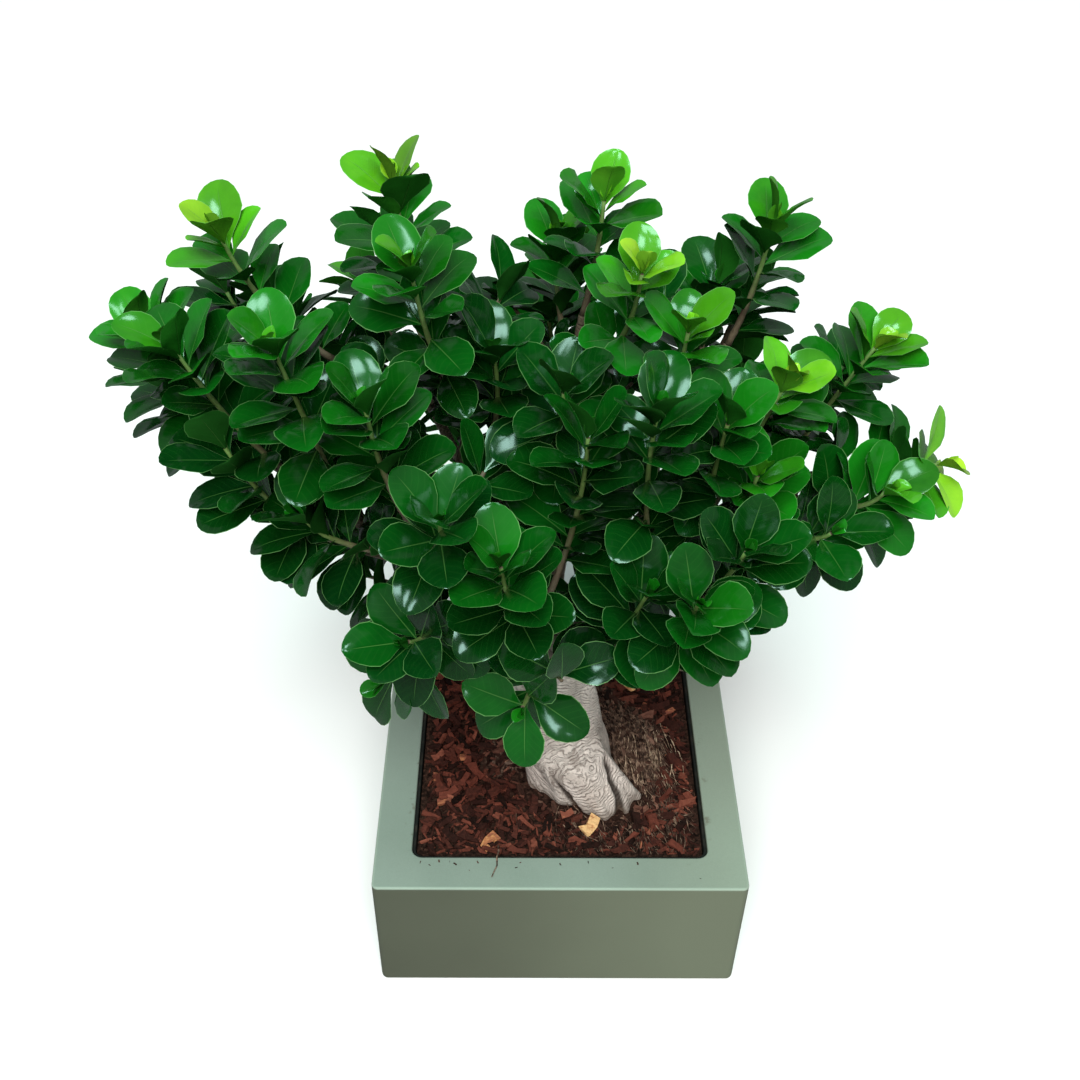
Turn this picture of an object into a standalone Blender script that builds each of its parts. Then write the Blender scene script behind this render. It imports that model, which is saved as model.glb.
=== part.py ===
# Potted ginseng ficus bonsai: a square planter with its black insert, bark soil,
# a swollen trunk with its limbs, and leafy shoots, each one a node of its own.
import math
import random
from collections import namedtuple

import bmesh
import bpy
from mathutils import Matrix, Vector
from mathutils.bvhtree import BVHTree

# Driving dimensions, in metres. The origin is the middle of the pot's flat underside.
CLEAR = 0.0003
TOUCH = 1e-6
POT_WIDTH = 0.280
POT_HEIGHT = 0.126
POT_WALL = 0.005
RIM_WIDTH = 0.028
LIP_DEPTH = 0.022
CORNER_ROUND = 0.004
FOOT_ROUND = 0.007
EDGE_ROUND = 0.0012
OPENING_ROUND = 0.008
LINER_WALL = 0.002
LINER_DROP = 0.003
LINER_TAPER = 0.010
DRAIN_RADIUS = 0.004
DRAIN_SIDES = 8
DRAIN_SPREAD = 0.060
SOIL_LEVEL = 0.117
SOIL_CELLS = 13
SOIL_RELIEF = 0.0012
SOIL_SIDE_GAP = 0.0006
SOIL_CORNER_CUT = 0.0032
MOUND_FADE = 0.030
BASE_SEED = 41

OPENING = POT_WIDTH - 2 * RIM_WIDTH
LINER_TOP = POT_HEIGHT - LINER_DROP
LINER_WIDTH = OPENING - 2 * CLEAR
LINER_BASE = POT_WALL + CLEAR

# The trunk: height, middle of the ring (x, y) and radius, from its buried foot to its crown
TRUNK_RINGS = (
    (0.070, 0.014, -0.012, 0.022),
    (0.090, 0.016, -0.013, 0.030),
    (0.110, 0.015, -0.014, 0.032),
    (0.122, 0.013, -0.014, 0.032),
    (0.138, 0.008, -0.014, 0.033),
    (0.158, 0.000, -0.014, 0.035),
    (0.180, -0.006, -0.013, 0.037),
    (0.202, -0.010, -0.012, 0.037),
    (0.221, -0.011, -0.010, 0.034),
    (0.240, -0.008, -0.008, 0.034),
    (0.257, -0.006, -0.006, 0.030),
    (0.269, -0.005, -0.004, 0.020),
)
# Root swellings that spread at the ground: direction in degrees, half width in degrees, reach
ROOT_LOBES = (
    (-70.0, 20.0, 0.0260),
    (-33.0, 13.0, 0.030),
    (-108.0, 17.0, 0.009),
    (-146.0, 26.0, 0.012),
    (146.0, 30.0, 0.010),
    (60.0, 28.0, 0.006),
)
LOBE_TOP = 0.200
LOBE_GROUND = 0.118
LOBE_FALL = 1.8
TRUNK_SIDES = 20
# The three shallow flutes that wind up the trunk: depth as a share, and radians a metre
FLUTES = 3
FLUTE_DEPTH = 0.03
FLUTE_TWIST = 40.0
HOLE_GROWTH = 0.0006

# The root ball that stands up round the trunk: middle, spread and height over the soil
MOUNDS = (
    (0.055, -0.002, 0.035, 0.015),
    (0.008, 0.040, 0.040, 0.012),
    (-0.040, -0.010, 0.030, 0.006),
)

# Limbs: the four guide points of each one's curve, then its radius at both ends
LIMBS = {
    "left": (((-0.015, -0.015, 0.250), (-0.075, -0.025, 0.315), (-0.140, -0.032, 0.385),
              (-0.188, -0.025, 0.435)), 0.0065, 0.0030),
    "left_up": (((-0.014, 0.000, 0.252), (-0.060, 0.005, 0.350), (-0.120, 0.010, 0.430),
                 (-0.152, 0.008, 0.490)), 0.0060, 0.0030),
    "front_left": (((-0.018, -0.024, 0.248), (-0.050, -0.060, 0.320), (-0.085, -0.080, 0.390),
                    (-0.100, -0.090, 0.440)), 0.0055, 0.0028),
    "upper_left": (((-0.012, -0.004, 0.255), (-0.035, 0.005, 0.360), (-0.065, 0.000, 0.440),
                    (-0.082, 0.000, 0.505)), 0.0060, 0.0028),
    "centre": (((-0.006, -0.002, 0.255), (-0.005, 0.025, 0.360), (0.000, 0.035, 0.440),
                (0.008, 0.032, 0.510)), 0.0065, 0.0030),
    "right_up": (((-0.002, 0.000, 0.253), (0.040, 0.020, 0.350), (0.080, 0.032, 0.425),
                  (0.105, 0.038, 0.485)), 0.0060, 0.0030),
    "right": (((0.000, -0.010, 0.250), (0.070, -0.015, 0.315), (0.130, -0.015, 0.370),
               (0.165, -0.010, 0.415)), 0.0065, 0.0030),
    "front": (((-0.010, -0.024, 0.246), (-0.008, -0.075, 0.300), (-0.020, -0.105, 0.345),
               (-0.028, -0.120, 0.380)), 0.0055, 0.0028),
    "front_right": (((0.000, -0.022, 0.248), (0.035, -0.065, 0.300), (0.055, -0.090, 0.335),
                     (0.062, -0.105, 0.365)), 0.0055, 0.0028),
    "back_left": (((-0.018, 0.006, 0.250), (-0.050, 0.060, 0.320), (-0.095, 0.100, 0.375),
                   (-0.120, 0.125, 0.420)), 0.0055, 0.0028),
    "back": (((-0.008, 0.008, 0.250), (0.005, 0.075, 0.315), (0.010, 0.125, 0.365),
              (0.015, 0.150, 0.405)), 0.0055, 0.0028),
    "back_right": (((0.000, 0.006, 0.250), (0.055, 0.060, 0.315), (0.105, 0.095, 0.360),
                    (0.130, 0.110, 0.400)), 0.0055, 0.0028),
}

# Leafy shoots: name, limb, how far along the limb it starts (1 is the limb's end), its tip,
# the turn of its first leaf in degrees, its number of leaves, and how young its tip is, from
# 0 to 1: the leaves at an old tip are full grown
Shoot = namedtuple("Shoot", "name limb start tip turn leaves youth")
SHOOTS = tuple(Shoot(*row) for row in (
    ("far_left", "left", 1.00, (-0.260, -0.012, 0.521), 170, 8, 0.55),
    ("left_near", "left", 0.78, (-0.231, -0.058, 0.539), 30, 8, 0.45),
    ("left_rosette", "left", 0.72, (-0.167, -0.088, 0.558), 20, 8, 0.45),
    ("left_low", "left", 0.80, (-0.263, 0.030, 0.451), 80, 7, 0.05),
    ("left_under", "left", 0.50, (-0.212, -0.058, 0.468), 150, 7, 0.05),
    ("left_top", "left_up", 1.00, (-0.209, 0.000, 0.580), 0, 8, 0.85),
    ("left_back", "left_up", 0.78, (-0.205, 0.085, 0.492), 60, 7, 0.25),
    ("left_mid", "left_up", 0.62, (-0.230, 0.075, 0.499), 140, 6, 0.10),
    ("front_left_top", "front_left", 1.00, (-0.118, -0.100, 0.528), 30, 8, 0.30),
    ("front_left_low", "front_left", 0.52, (-0.100, -0.128, 0.372), 10, 7, 0.05),
    ("front_left_hang", "front_left", 0.36, (-0.119, -0.108, 0.314), 200, 6, 0.10),
    ("front_left_side", "front_left", 0.74, (-0.162, -0.085, 0.432), 120, 7, 0.10),
    ("front_left_mid", "front_left", 0.86, (-0.077, -0.132, 0.472), 70, 6, 0.15),
    ("crown_left", "upper_left", 1.00, (-0.108, 0.025, 0.602), 90, 8, 0.85),
    ("crown_left_front", "upper_left", 0.86, (-0.093, -0.050, 0.586), 40, 8, 0.60),
    ("crown_inner", "upper_left", 0.62, (-0.048, -0.025, 0.515), 10, 6, 0.10),
    ("crown_left_back", "upper_left", 0.70, (-0.121, 0.080, 0.536), 90, 7, 0.30),
    ("crown", "centre", 1.00, (0.018, 0.030, 0.590), 120, 8, 0.70),
    ("crown_back", "centre", 0.78, (-0.009, 0.078, 0.539), 45, 7, 0.60),
    ("crown_front", "centre", 0.82, (0.037, -0.040, 0.580), 15, 8, 0.90),
    ("centre_mid", "centre", 0.56, (-0.006, -0.060, 0.512), 75, 6, 0.15),
    ("right_top", "right_up", 1.00, (0.125, 0.045, 0.566), 20, 8, 0.65),
    ("right_top_inner", "right_up", 0.80, (0.098, 0.062, 0.515), 50, 6, 0.30),
    ("right_bright", "right_up", 0.66, (0.066, -0.045, 0.545), 80, 7, 0.70),
    ("right_back_top", "right_up", 0.88, (0.127, 0.112, 0.489), 30, 7, 0.35),
    ("right_high", "right", 0.62, (0.198, 0.022, 0.493), 110, 8, 0.80),
    ("right_inner_high", "right", 0.40, (0.132, -0.028, 0.498), 40, 7, 0.85),
    ("far_right", "right", 1.00, (0.245, -0.015, 0.427), 60, 8, 0.95),
    ("right_mid", "right", 0.86, (0.199, -0.056, 0.435), 100, 7, 0.55),
    ("right_small", "right", 0.60, (0.113, -0.074, 0.462), 25, 6, 0.55),
    ("right_hang", "right", 0.74, (0.168, -0.064, 0.408), 200, 6, 0.20),
    ("right_front", "right", 0.54, (0.089, -0.082, 0.506), 65, 7, 0.35),
    ("front_rosette", "front", 1.00, (-0.042, -0.145, 0.450), 20, 8, 0.30),
    ("front_low", "front", 0.42, (-0.029, -0.125, 0.309), 330, 6, 0.15),
    ("front_centre", "front", 0.84, (0.008, -0.085, 0.498), 55, 7, 0.25),
    ("front_right_top", "front_right", 1.00, (0.072, -0.152, 0.428), 35, 7, 0.30),
    ("front_right_low", "front_right", 0.50, (0.045, -0.128, 0.412), 85, 5, 0.10),
    ("front_right_mid", "front_right", 0.90, (0.046, -0.095, 0.522), 5, 7, 0.20),
    ("front_right_side", "front_right", 0.74, (0.102, -0.122, 0.442), 140, 6, 0.15),
    ("back_left_end", "back_left", 1.00, (-0.151, 0.165, 0.454), 15, 7, 0.60),
    ("back_left_side", "back_left", 0.60, (-0.198, 0.105, 0.405), 65, 7, 0.30),
    ("back_left_low", "back_left", 0.50, (-0.085, 0.162, 0.365), 95, 7, 0.15),
    ("back_end", "back", 1.00, (0.005, 0.195, 0.468), 25, 7, 0.70),
    ("back_high", "back", 0.80, (-0.013, 0.135, 0.460), 75, 6, 0.50),
    ("back_low", "back", 0.52, (0.045, 0.178, 0.368), 125, 7, 0.15),
    ("back_right_end", "back_right", 1.00, (0.138, 0.148, 0.397), 40, 7, 0.60),
    ("back_right_side", "back_right", 0.60, (0.196, 0.078, 0.442), 90, 7, 0.30),
    ("back_right_high", "back_right", 0.80, (0.090, 0.128, 0.461), 10, 6, 0.45),
))

STEM_ROOT_RADIUS = 0.0023
STEM_TIP_RADIUS = 0.0014
# The stub at a side shoot's foot, fused to the limb: its reach, and its radii at both ends
STUB_REACH = 0.013
STUB_ROOT_RADIUS = 0.0028
STUB_END_RADIUS = 0.0024
SHOOT_COLLAR = 0.004
# The middle guide of a shoot's curve: its share of the way out and of the way up to the tip,
# and how far it bows sideways from the limb
SHOOT_OUT = 0.72
SHOOT_UP = 0.40
SHOOT_BOW = 0.13
SHOOT_STEPS = 3
LIMB_STEPS = 5

# A leaf: where each cross row lies along its length, and its half width there as a share
LEAF_ROWS = ((0.30, 0.50), (0.62, 1.00), (0.88, 0.74))
LEAF_SHAPE = 0.335
LEAF_THICKNESS = 0.0013
LEAF_TURN = 137.5
# The length that every leaf of an old shoot comes to
LEAF_FULL = 0.046
# The share of its lift that a leaf keeps on a stem that lies level
LEVEL_LIFT = 0.35
# Down the shoot from its tip: distance, leaf length and lift in degrees
LEAF_STATIONS = (
    (0.002, 0.026, 72.0),
    (0.006, 0.034, 60.0),
    (0.011, 0.040, 50.0),
    (0.018, 0.043, 42.0),
    (0.027, 0.045, 35.0),
    (0.038, 0.045, 29.0),
    (0.051, 0.044, 24.0),
    (0.066, 0.042, 20.0),
)
# How far a leaf's size share, turn, lift and roll in degrees may stray to either side
SIZE_SPREAD = 0.06
TURN_SPREAD = 10.0
LIFT_SPREAD = 6.0
ROLL_SPREAD = 12.0
FOLD_RANGE = (0.12, 0.34)
DROOP_RANGE = (-0.06, 0.16)
# A leaf that meets another is tried again, each time smaller and turned more freely
LEAF_TRIES = 14
LOOSE_SHRINK = 0.25
LOOSE_TURN = 4.0
LOOSE_LIFT = (-30.0, 40.0)
LOOSE_ROLL = 2.0
LEAF_MARGIN = 0.0005
LOWEST_LEAF = 0.150
# How much a leaf's face turns up to the light, and the way that its turns are counted from
LIGHT_PULL = Vector((0.0, -0.2, 0.9))
TURN_START = Vector((0.31, 0.95, 0.07))


def clear_scene():
    for obj in list(bpy.data.objects):
        bpy.data.objects.remove(obj, do_unlink=True)


def new_collection(name):
    collection = bpy.data.collections.new(name)
    bpy.context.scene.collection.children.link(collection)
    return collection


def surface(name, colour, roughness, metallic=0.0):
    material = bpy.data.materials.new(name)
    material.use_nodes = True
    shader = material.node_tree.nodes["Principled BSDF"]
    shader.inputs["Base Color"].default_value = (*colour, 1.0)
    shader.inputs["Roughness"].default_value = roughness
    shader.inputs["Metallic"].default_value = metallic
    return material


def mesh_object(name, bm, material, collection):
    mesh = bpy.data.meshes.new(name)
    bm.to_mesh(mesh)
    bm.free()
    if material:
        mesh.materials.append(material)
    obj = bpy.data.objects.new(name, mesh)
    collection.objects.link(obj)
    return obj


def box_mesh(width, depth, low, high):
    bm = bmesh.new()
    bmesh.ops.create_cube(bm, size=1.0)
    bmesh.ops.scale(bm, vec=(width, depth, high - low), verts=bm.verts)
    bmesh.ops.translate(bm, vec=(0, 0, (low + high) / 2), verts=bm.verts)
    return bm


def round_edges(bm, chosen, radius, segments):
    bmesh.ops.bevel(bm, geom=chosen, offset=radius, segments=segments, profile=0.5, affect="EDGES")


def upright_edges(bm):
    return [e for e in bm.edges if abs(e.verts[0].co.z - e.verts[1].co.z) > TOUCH]


def level_edges(bm, height):
    return [e for e in bm.edges if all(abs(v.co.z - height) < TOUCH for v in e.verts)]


def make_cutter(name, bm, cutters):
    cutter = mesh_object(name, bm, None, cutters)
    cutter.hide_render = True
    cutter.display_type = "WIRE"
    return cutter


def boolean(obj, other, operation):
    modifier = obj.modifiers.new(other.name, "BOOLEAN")
    modifier.operation = operation
    modifier.object = other


def make_pot(collection, cutters, material):
    bm = box_mesh(POT_WIDTH, POT_WIDTH, 0.0, POT_HEIGHT)
    round_edges(bm, upright_edges(bm), CORNER_ROUND, 2)
    round_edges(bm, level_edges(bm, 0.0), FOOT_ROUND, 3)
    round_edges(bm, level_edges(bm, POT_HEIGHT), EDGE_ROUND, 1)
    pot = mesh_object("pot", bm, material, collection)

    inner = POT_WIDTH - 2 * POT_WALL
    hollow = box_mesh(inner, inner, POT_WALL, POT_HEIGHT - POT_WALL)
    boolean(pot, make_cutter("hollow", hollow, cutters), "DIFFERENCE")

    mouth = box_mesh(OPENING, OPENING, POT_HEIGHT - 2 * POT_WALL, POT_HEIGHT + POT_WALL)
    round_edges(mouth, upright_edges(mouth), OPENING_ROUND, 3)
    boolean(pot, make_cutter("mouth", mouth, cutters), "DIFFERENCE")

    # The rim turns down round the opening as a lip that steadies the insert
    lip_width = OPENING + 2 * POT_WALL
    lip = box_mesh(lip_width, lip_width, POT_HEIGHT - LIP_DEPTH, POT_HEIGHT - EDGE_ROUND)
    round_edges(lip, upright_edges(lip), OPENING_ROUND + POT_WALL, 3)
    bore = box_mesh(OPENING, OPENING, 0.0, 2 * POT_HEIGHT)
    round_edges(bore, upright_edges(bore), OPENING_ROUND, 3)
    lip_ring = make_cutter("lip", lip, cutters)
    boolean(lip_ring, make_cutter("lip_bore", bore, cutters), "DIFFERENCE")
    boolean(pot, lip_ring, "UNION")
    return pot


def tub_width(height):
    share = (LINER_TOP - height) / (LINER_TOP - LINER_BASE)
    return LINER_WIDTH - 2 * LINER_TAPER * share


def make_liner(collection, cutters, material):
    bm = box_mesh(LINER_WIDTH, LINER_WIDTH, LINER_BASE, LINER_TOP)
    round_edges(bm, upright_edges(bm), OPENING_ROUND - CLEAR, 3)
    foot = [v for v in bm.verts if v.co.z < LINER_BASE + TOUCH]
    shrink = tub_width(LINER_BASE) / LINER_WIDTH
    bmesh.ops.scale(bm, vec=(shrink, shrink, 1.0), verts=foot)
    top_faces = [f for f in bm.faces if f.normal.z > 0.9]
    bmesh.ops.delete(bm, geom=top_faces, context="FACES_ONLY")
    liner = mesh_object("liner", bm, material, collection)
    wall = liner.modifiers.new("wall", "SOLIDIFY")
    wall.thickness = LINER_WALL
    wall.offset = -1.0
    wall.use_even_offset = True

    holes = bmesh.new()
    for x, y in ((0, 0), (1, 1), (1, -1), (-1, 1), (-1, -1)):
        place = Matrix.Translation((x * DRAIN_SPREAD, y * DRAIN_SPREAD, LINER_BASE))
        bmesh.ops.create_cone(holes, cap_ends=True, segments=DRAIN_SIDES, radius1=DRAIN_RADIUS,
                              radius2=DRAIN_RADIUS, depth=4 * LINER_WALL, matrix=place)
    boolean(liner, make_cutter("drain_holes", holes, cutters), "DIFFERENCE")
    return liner


def smooth_step(value):
    value = min(max(value, 0.0), 1.0)
    return value * value * (3 - 2 * value)


def ring_at(height):
    rings = TRUNK_RINGS
    for low, high in zip(rings, rings[1:]):
        if height <= high[0]:
            break
    share = (height - low[0]) / (high[0] - low[0])
    return [a + (b - a) * share for a, b in zip(low[1:], high[1:])]


def trunk_radius(angle, height):
    radius = ring_at(height)[2]
    if height > LOBE_GROUND:
        flare = max(0.0, (LOBE_TOP - height) / (LOBE_TOP - LOBE_GROUND)) ** LOBE_FALL
    else:
        flare = smooth_step((height - TRUNK_RINGS[0][0]) / (LOBE_GROUND - TRUNK_RINGS[0][0]))
    for direction, half_width, reach in ROOT_LOBES:
        away = (math.degrees(angle) - direction + 180.0) % 360.0 - 180.0
        radius += reach * flare * math.exp(-(away / half_width) ** 2)
    return radius * (1.0 + FLUTE_DEPTH * math.sin(FLUTES * angle + FLUTE_TWIST * height))


def trunk_form(growth=0.0):
    """The swollen root and stem, as rings of points joined into a closed skin."""
    bm = bmesh.new()
    rings = []
    for height, x, y, radius in TRUNK_RINGS:
        ring = []
        for side in range(TRUNK_SIDES):
            angle = 2 * math.pi * side / TRUNK_SIDES
            reach = trunk_radius(angle, height) + growth
            drop = growth if height == TRUNK_RINGS[0][0] else 0.0
            place = (x + reach * math.cos(angle), y + reach * math.sin(angle), height - drop)
            ring.append(bm.verts.new(place))
        rings.append(ring)
    for low, high in zip(rings, rings[1:]):
        for side in range(TRUNK_SIDES):
            after = (side + 1) % TRUNK_SIDES
            bm.faces.new((low[side], low[after], high[after], high[side]))
    bm.faces.new(list(reversed(rings[0])))
    bm.faces.new(rings[-1])
    return bm


def soil_height(x, y):
    height = SOIL_LEVEL
    for middle_x, middle_y, spread, rise in MOUNDS:
        away = ((x - middle_x) ** 2 + (y - middle_y) ** 2) / spread ** 2
        height += rise * math.exp(-away)
    return height


def soil_width(height):
    return tub_width(height) - 2 * LINER_WALL - 2 * SOIL_SIDE_GAP


def make_soil(collection, cutters, material):
    draw = random.Random(BASE_SEED)
    half = soil_width(SOIL_LEVEL) / 2
    bm = bmesh.new()
    bmesh.ops.create_grid(bm, x_segments=SOIL_CELLS, y_segments=SOIL_CELLS, size=half)
    for vert in bm.verts:
        x, y = vert.co.x, vert.co.y
        inside = min(half - abs(x), half - abs(y))
        rise = (soil_height(x, y) - SOIL_LEVEL) * smooth_step(inside / MOUND_FADE)
        vert.co.z = SOIL_LEVEL + rise + draw.uniform(-SOIL_RELIEF, SOIL_RELIEF)
        if abs(x) > half - TOUCH and abs(y) > half - TOUCH:
            vert.co.x -= math.copysign(SOIL_CORNER_CUT, x)
            vert.co.y -= math.copysign(SOIL_CORNER_CUT, y)
    border = [e for e in bm.edges if e.is_boundary]
    made = bmesh.ops.extrude_edge_only(bm, edges=border)
    foot_level = LINER_BASE + LINER_WALL + CLEAR
    shrink = soil_width(foot_level) / (2 * half)
    foot = [v for v in made["geom"] if isinstance(v, bmesh.types.BMVert)]
    for vert in foot:
        vert.co.x *= shrink
        vert.co.y *= shrink
        vert.co.z = foot_level
    bmesh.ops.contextual_create(bm, geom=[e for e in bm.edges if e.is_boundary])
    bmesh.ops.recalc_face_normals(bm, faces=bm.faces)
    soil = mesh_object("soil", bm, material, collection)
    boolean(soil, make_cutter("trunk_hole", trunk_form(HOLE_GROWTH), cutters), "DIFFERENCE")
    return soil


def curve_point(guides, share):
    """A point on the smooth curve that the guide points pull, by repeated halving."""
    points = [Vector(p) for p in guides]
    while len(points) > 1:
        points = [a.lerp(b, share) for a, b in zip(points, points[1:])]
    return points[0]


def curve_direction(guides, share):
    step = 0.02
    before = curve_point(guides, max(share - step, 0.0))
    after = curve_point(guides, min(share + step, 1.0))
    return (after - before).normalized()


def shoot_guides(shoot):
    """A shoot leaves its limb at a wide angle, then turns up to the light."""
    limb = LIMBS[shoot.limb][0]
    start = curve_point(limb, shoot.start)
    along = curve_direction(limb, shoot.start)
    tip = Vector(shoot.tip)
    reach = tip - start
    middle = start + Vector((reach.x * SHOOT_OUT, reach.y * SHOOT_OUT, reach.z * SHOOT_UP))
    if shoot.start < 1.0:
        aside = (reach - along * reach.dot(along)).normalized()
        middle += aside * SHOOT_BOW * reach.length
    return start, middle, tip


def stub_share(guides):
    """The share of a side shoot's curve that stays fused to its limb as a short stub."""
    return STUB_REACH / (guides[2] - guides[0]).length


def stem_points(guides, first, last, steps):
    return [curve_point(guides, first + (last - first) * i / steps) for i in range(steps + 1)]


def shoot_points(shoot):
    """A shoot's own stem: it leaves its stub square to the cut, then bends up to its tip."""
    guides = shoot_guides(shoot)
    if shoot.start < 1.0:
        first = stub_share(guides)
        seat = curve_point(guides, first)
        way = (seat - guides[0]).normalized()
    else:
        first = 0.0
        limb = stem_points(LIMBS[shoot.limb][0], 0.0, 1.0, LIMB_STEPS)
        seat = limb[-1]
        way = (seat - limb[-2]).normalized()
    collar = [seat + way * CLEAR, seat + way * SHOOT_COLLAR]
    return collar + stem_points(guides, first, 1.0, SHOOT_STEPS)[1:]


def tube(name, points, root_radius, end_radius, roundness, material, collection):
    """A tapering stem, as a curve that is then made a mesh: roundness 0 has 4 sides, and 1 has 6."""
    curve = bpy.data.curves.new(name, "CURVE")
    curve.dimensions = "3D"
    curve.bevel_depth = 1.0
    curve.bevel_resolution = roundness
    curve.use_fill_caps = True
    spline = curve.splines.new("POLY")
    spline.points.add(len(points) - 1)
    for number, (knot, place) in enumerate(zip(spline.points, points)):
        knot.co = (*place, 1.0)
        knot.radius = root_radius + (end_radius - root_radius) * number / (len(points) - 1)
    guide = bpy.data.objects.new(name, curve)
    collection.objects.link(guide)
    depsgraph = bpy.context.evaluated_depsgraph_get()
    mesh = bpy.data.meshes.new_from_object(guide.evaluated_get(depsgraph))
    bpy.data.objects.remove(guide, do_unlink=True)
    bpy.data.curves.remove(curve)
    bm = bmesh.new()
    bm.from_mesh(mesh)
    bpy.data.meshes.remove(mesh)
    bmesh.ops.remove_doubles(bm, verts=bm.verts, dist=TOUCH)
    bmesh.ops.recalc_face_normals(bm, faces=bm.faces)
    return mesh_object(name, bm, material, collection)


def join_collection(obj, helpers):
    """Fuse every helper solid into the object, apply it, and remove the helpers."""
    modifier = obj.modifiers.new("fused", "BOOLEAN")
    modifier.operation = "UNION"
    modifier.operand_type = "COLLECTION"
    modifier.collection = helpers
    depsgraph = bpy.context.evaluated_depsgraph_get()
    fused = bpy.data.meshes.new_from_object(obj.evaluated_get(depsgraph))
    obj.modifiers.clear()
    old = obj.data
    material = old.materials[0]
    obj.data = fused
    fused.name = obj.name
    fused.materials.clear()
    fused.materials.append(material)
    bpy.data.meshes.remove(old)
    for helper in list(helpers.objects):
        bpy.data.objects.remove(helper, do_unlink=True)
    bpy.data.collections.remove(helpers)


def make_trunk(collection, material):
    trunk = mesh_object("trunk", trunk_form(), material, collection)
    helpers = new_collection("limbs")
    for name, (guides, root_radius, end_radius) in LIMBS.items():
        points = stem_points(guides, 0.0, 1.0, LIMB_STEPS)
        tube(name, points, root_radius, end_radius, 1, material, helpers)
    for shoot in SHOOTS:
        if shoot.start < 1.0:
            guides = shoot_guides(shoot)
            points = stem_points(guides, 0.0, stub_share(guides), 1)
            tube(shoot.name, points, STUB_ROOT_RADIUS, STUB_END_RADIUS, 0, material, helpers)
    join_collection(trunk, helpers)
    return trunk


def leaf_shape(length, fold, droop, grown=0.0):
    """Points and triangles of one leaf: x along it, y across, z up from its face."""
    half_thick = LEAF_THICKNESS / 2 + grown
    points = [Vector((0.0, 0.0, 0.0))]
    for share, breadth in LEAF_ROWS:
        x = length * share
        z = -droop * length * share * share
        half = length * LEAF_SHAPE * breadth + grown
        rise = fold * half
        points.append(Vector((x, half, z + rise)))
        points.append(Vector((x, 0.0, z + half_thick)))
        points.append(Vector((x, -half, z + rise)))
        points.append(Vector((x, 0.0, z - half_thick)))
    points.append(Vector((length + grown, 0.0, -droop * length)))
    faces = []
    for side in range(4):
        faces.append((0, 1 + (side + 1) % 4, 1 + side))
    for row in range(len(LEAF_ROWS) - 1):
        first = 1 + 4 * row
        for side in range(4):
            a = first + side
            b = first + (side + 1) % 4
            # Both faces of the blade are split along the same slanting line
            if side in (0, 3):
                faces.append((a, b, b + 4))
                faces.append((a, b + 4, a + 4))
            else:
                faces.append((a, b, a + 4))
                faces.append((b, b + 4, a + 4))
    last = 1 + 4 * (len(LEAF_ROWS) - 1)
    for side in range(4):
        faces.append((last + side, last + (side + 1) % 4, len(points) - 1))
    return points, faces


def stem_spot(points, distance):
    """The point and the direction on a stem, at a distance down from its tip."""
    for high, low in zip(reversed(points), reversed(points[:-1])):
        step = (high - low).length
        if distance <= step:
            break
        distance -= step
    along = (high - low).normalized()
    return high - along * distance, along


def leaf_place(points, distance, turn, lift, roll):
    """Where a leaf sits on its stem: its frame has x along the leaf and z out of its face."""
    place, along = stem_spot(points, distance)
    across = along.cross(TURN_START).normalized()
    other = along.cross(across)
    angle = math.radians(turn)
    outward = across * math.cos(angle) + other * math.sin(angle)
    slope = math.radians(lift)
    run = outward * math.cos(slope) + along * math.sin(slope)
    face = along * math.cos(slope) - outward * math.sin(slope) + LIGHT_PULL
    face = (face - run * face.dot(run)).normalized()
    side = face.cross(run)
    turned = math.radians(roll)
    face = face * math.cos(turned) + side * math.sin(turned)
    side = face.cross(run)
    frame = Matrix((run, side, face)).transposed().to_4x4()
    return Matrix.Translation(place) @ frame


class Solids:
    """What already stands in the plant, kept as search trees with their round bounds."""

    def __init__(self):
        self.items = []

    def add(self, owner, points, faces):
        middle = sum(points, Vector()) / len(points)
        reach = max((p - middle).length for p in points)
        self.items.append((owner, middle, reach, BVHTree.FromPolygons(points, faces)))

    def add_object(self, owner, obj):
        points = [obj.matrix_world @ v.co for v in obj.data.vertices]
        self.add(owner, points, [tuple(p.vertices) for p in obj.data.polygons])

    def clear_of(self, points, faces, skip):
        middle = sum(points, Vector()) / len(points)
        reach = max((p - middle).length for p in points)
        tree = None
        for owner, other_middle, other_reach, other_tree in self.items:
            if owner == skip:
                continue
            if (other_middle - middle).length > reach + other_reach:
                continue
            tree = tree or BVHTree.FromPolygons(points, faces)
            if tree.overlap(other_tree):
                return False
        return True


def draw_leaf(draw, shoot, stem, level, loose):
    """One try at a leaf of a shoot: its shape, and its place on the stem."""
    distance, length, lift = LEAF_STATIONS[level]
    length += (LEAF_FULL - length) * (1.0 - shoot.youth)
    lift *= LEVEL_LIFT + (1.0 - LEVEL_LIFT) * max(stem_spot(stem, distance)[1].z, 0.0)
    size = length * (1.0 - LOOSE_SHRINK * loose) * draw.uniform(1.0 - SIZE_SPREAD, 1.0 + SIZE_SPREAD)
    stray = draw.uniform(-TURN_SPREAD, TURN_SPREAD) * (1.0 + LOOSE_TURN * loose)
    rise = lift + draw.uniform(-LIFT_SPREAD, LIFT_SPREAD) + draw.uniform(*LOOSE_LIFT) * loose
    roll = draw.uniform(-ROLL_SPREAD, ROLL_SPREAD) * (1.0 + LOOSE_ROLL * loose)
    shape = (size, draw.uniform(*FOLD_RANGE), draw.uniform(*DROOP_RANGE))
    return shape, leaf_place(stem, distance, shoot.turn + LEAF_TURN * level + stray, rise, roll)


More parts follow.
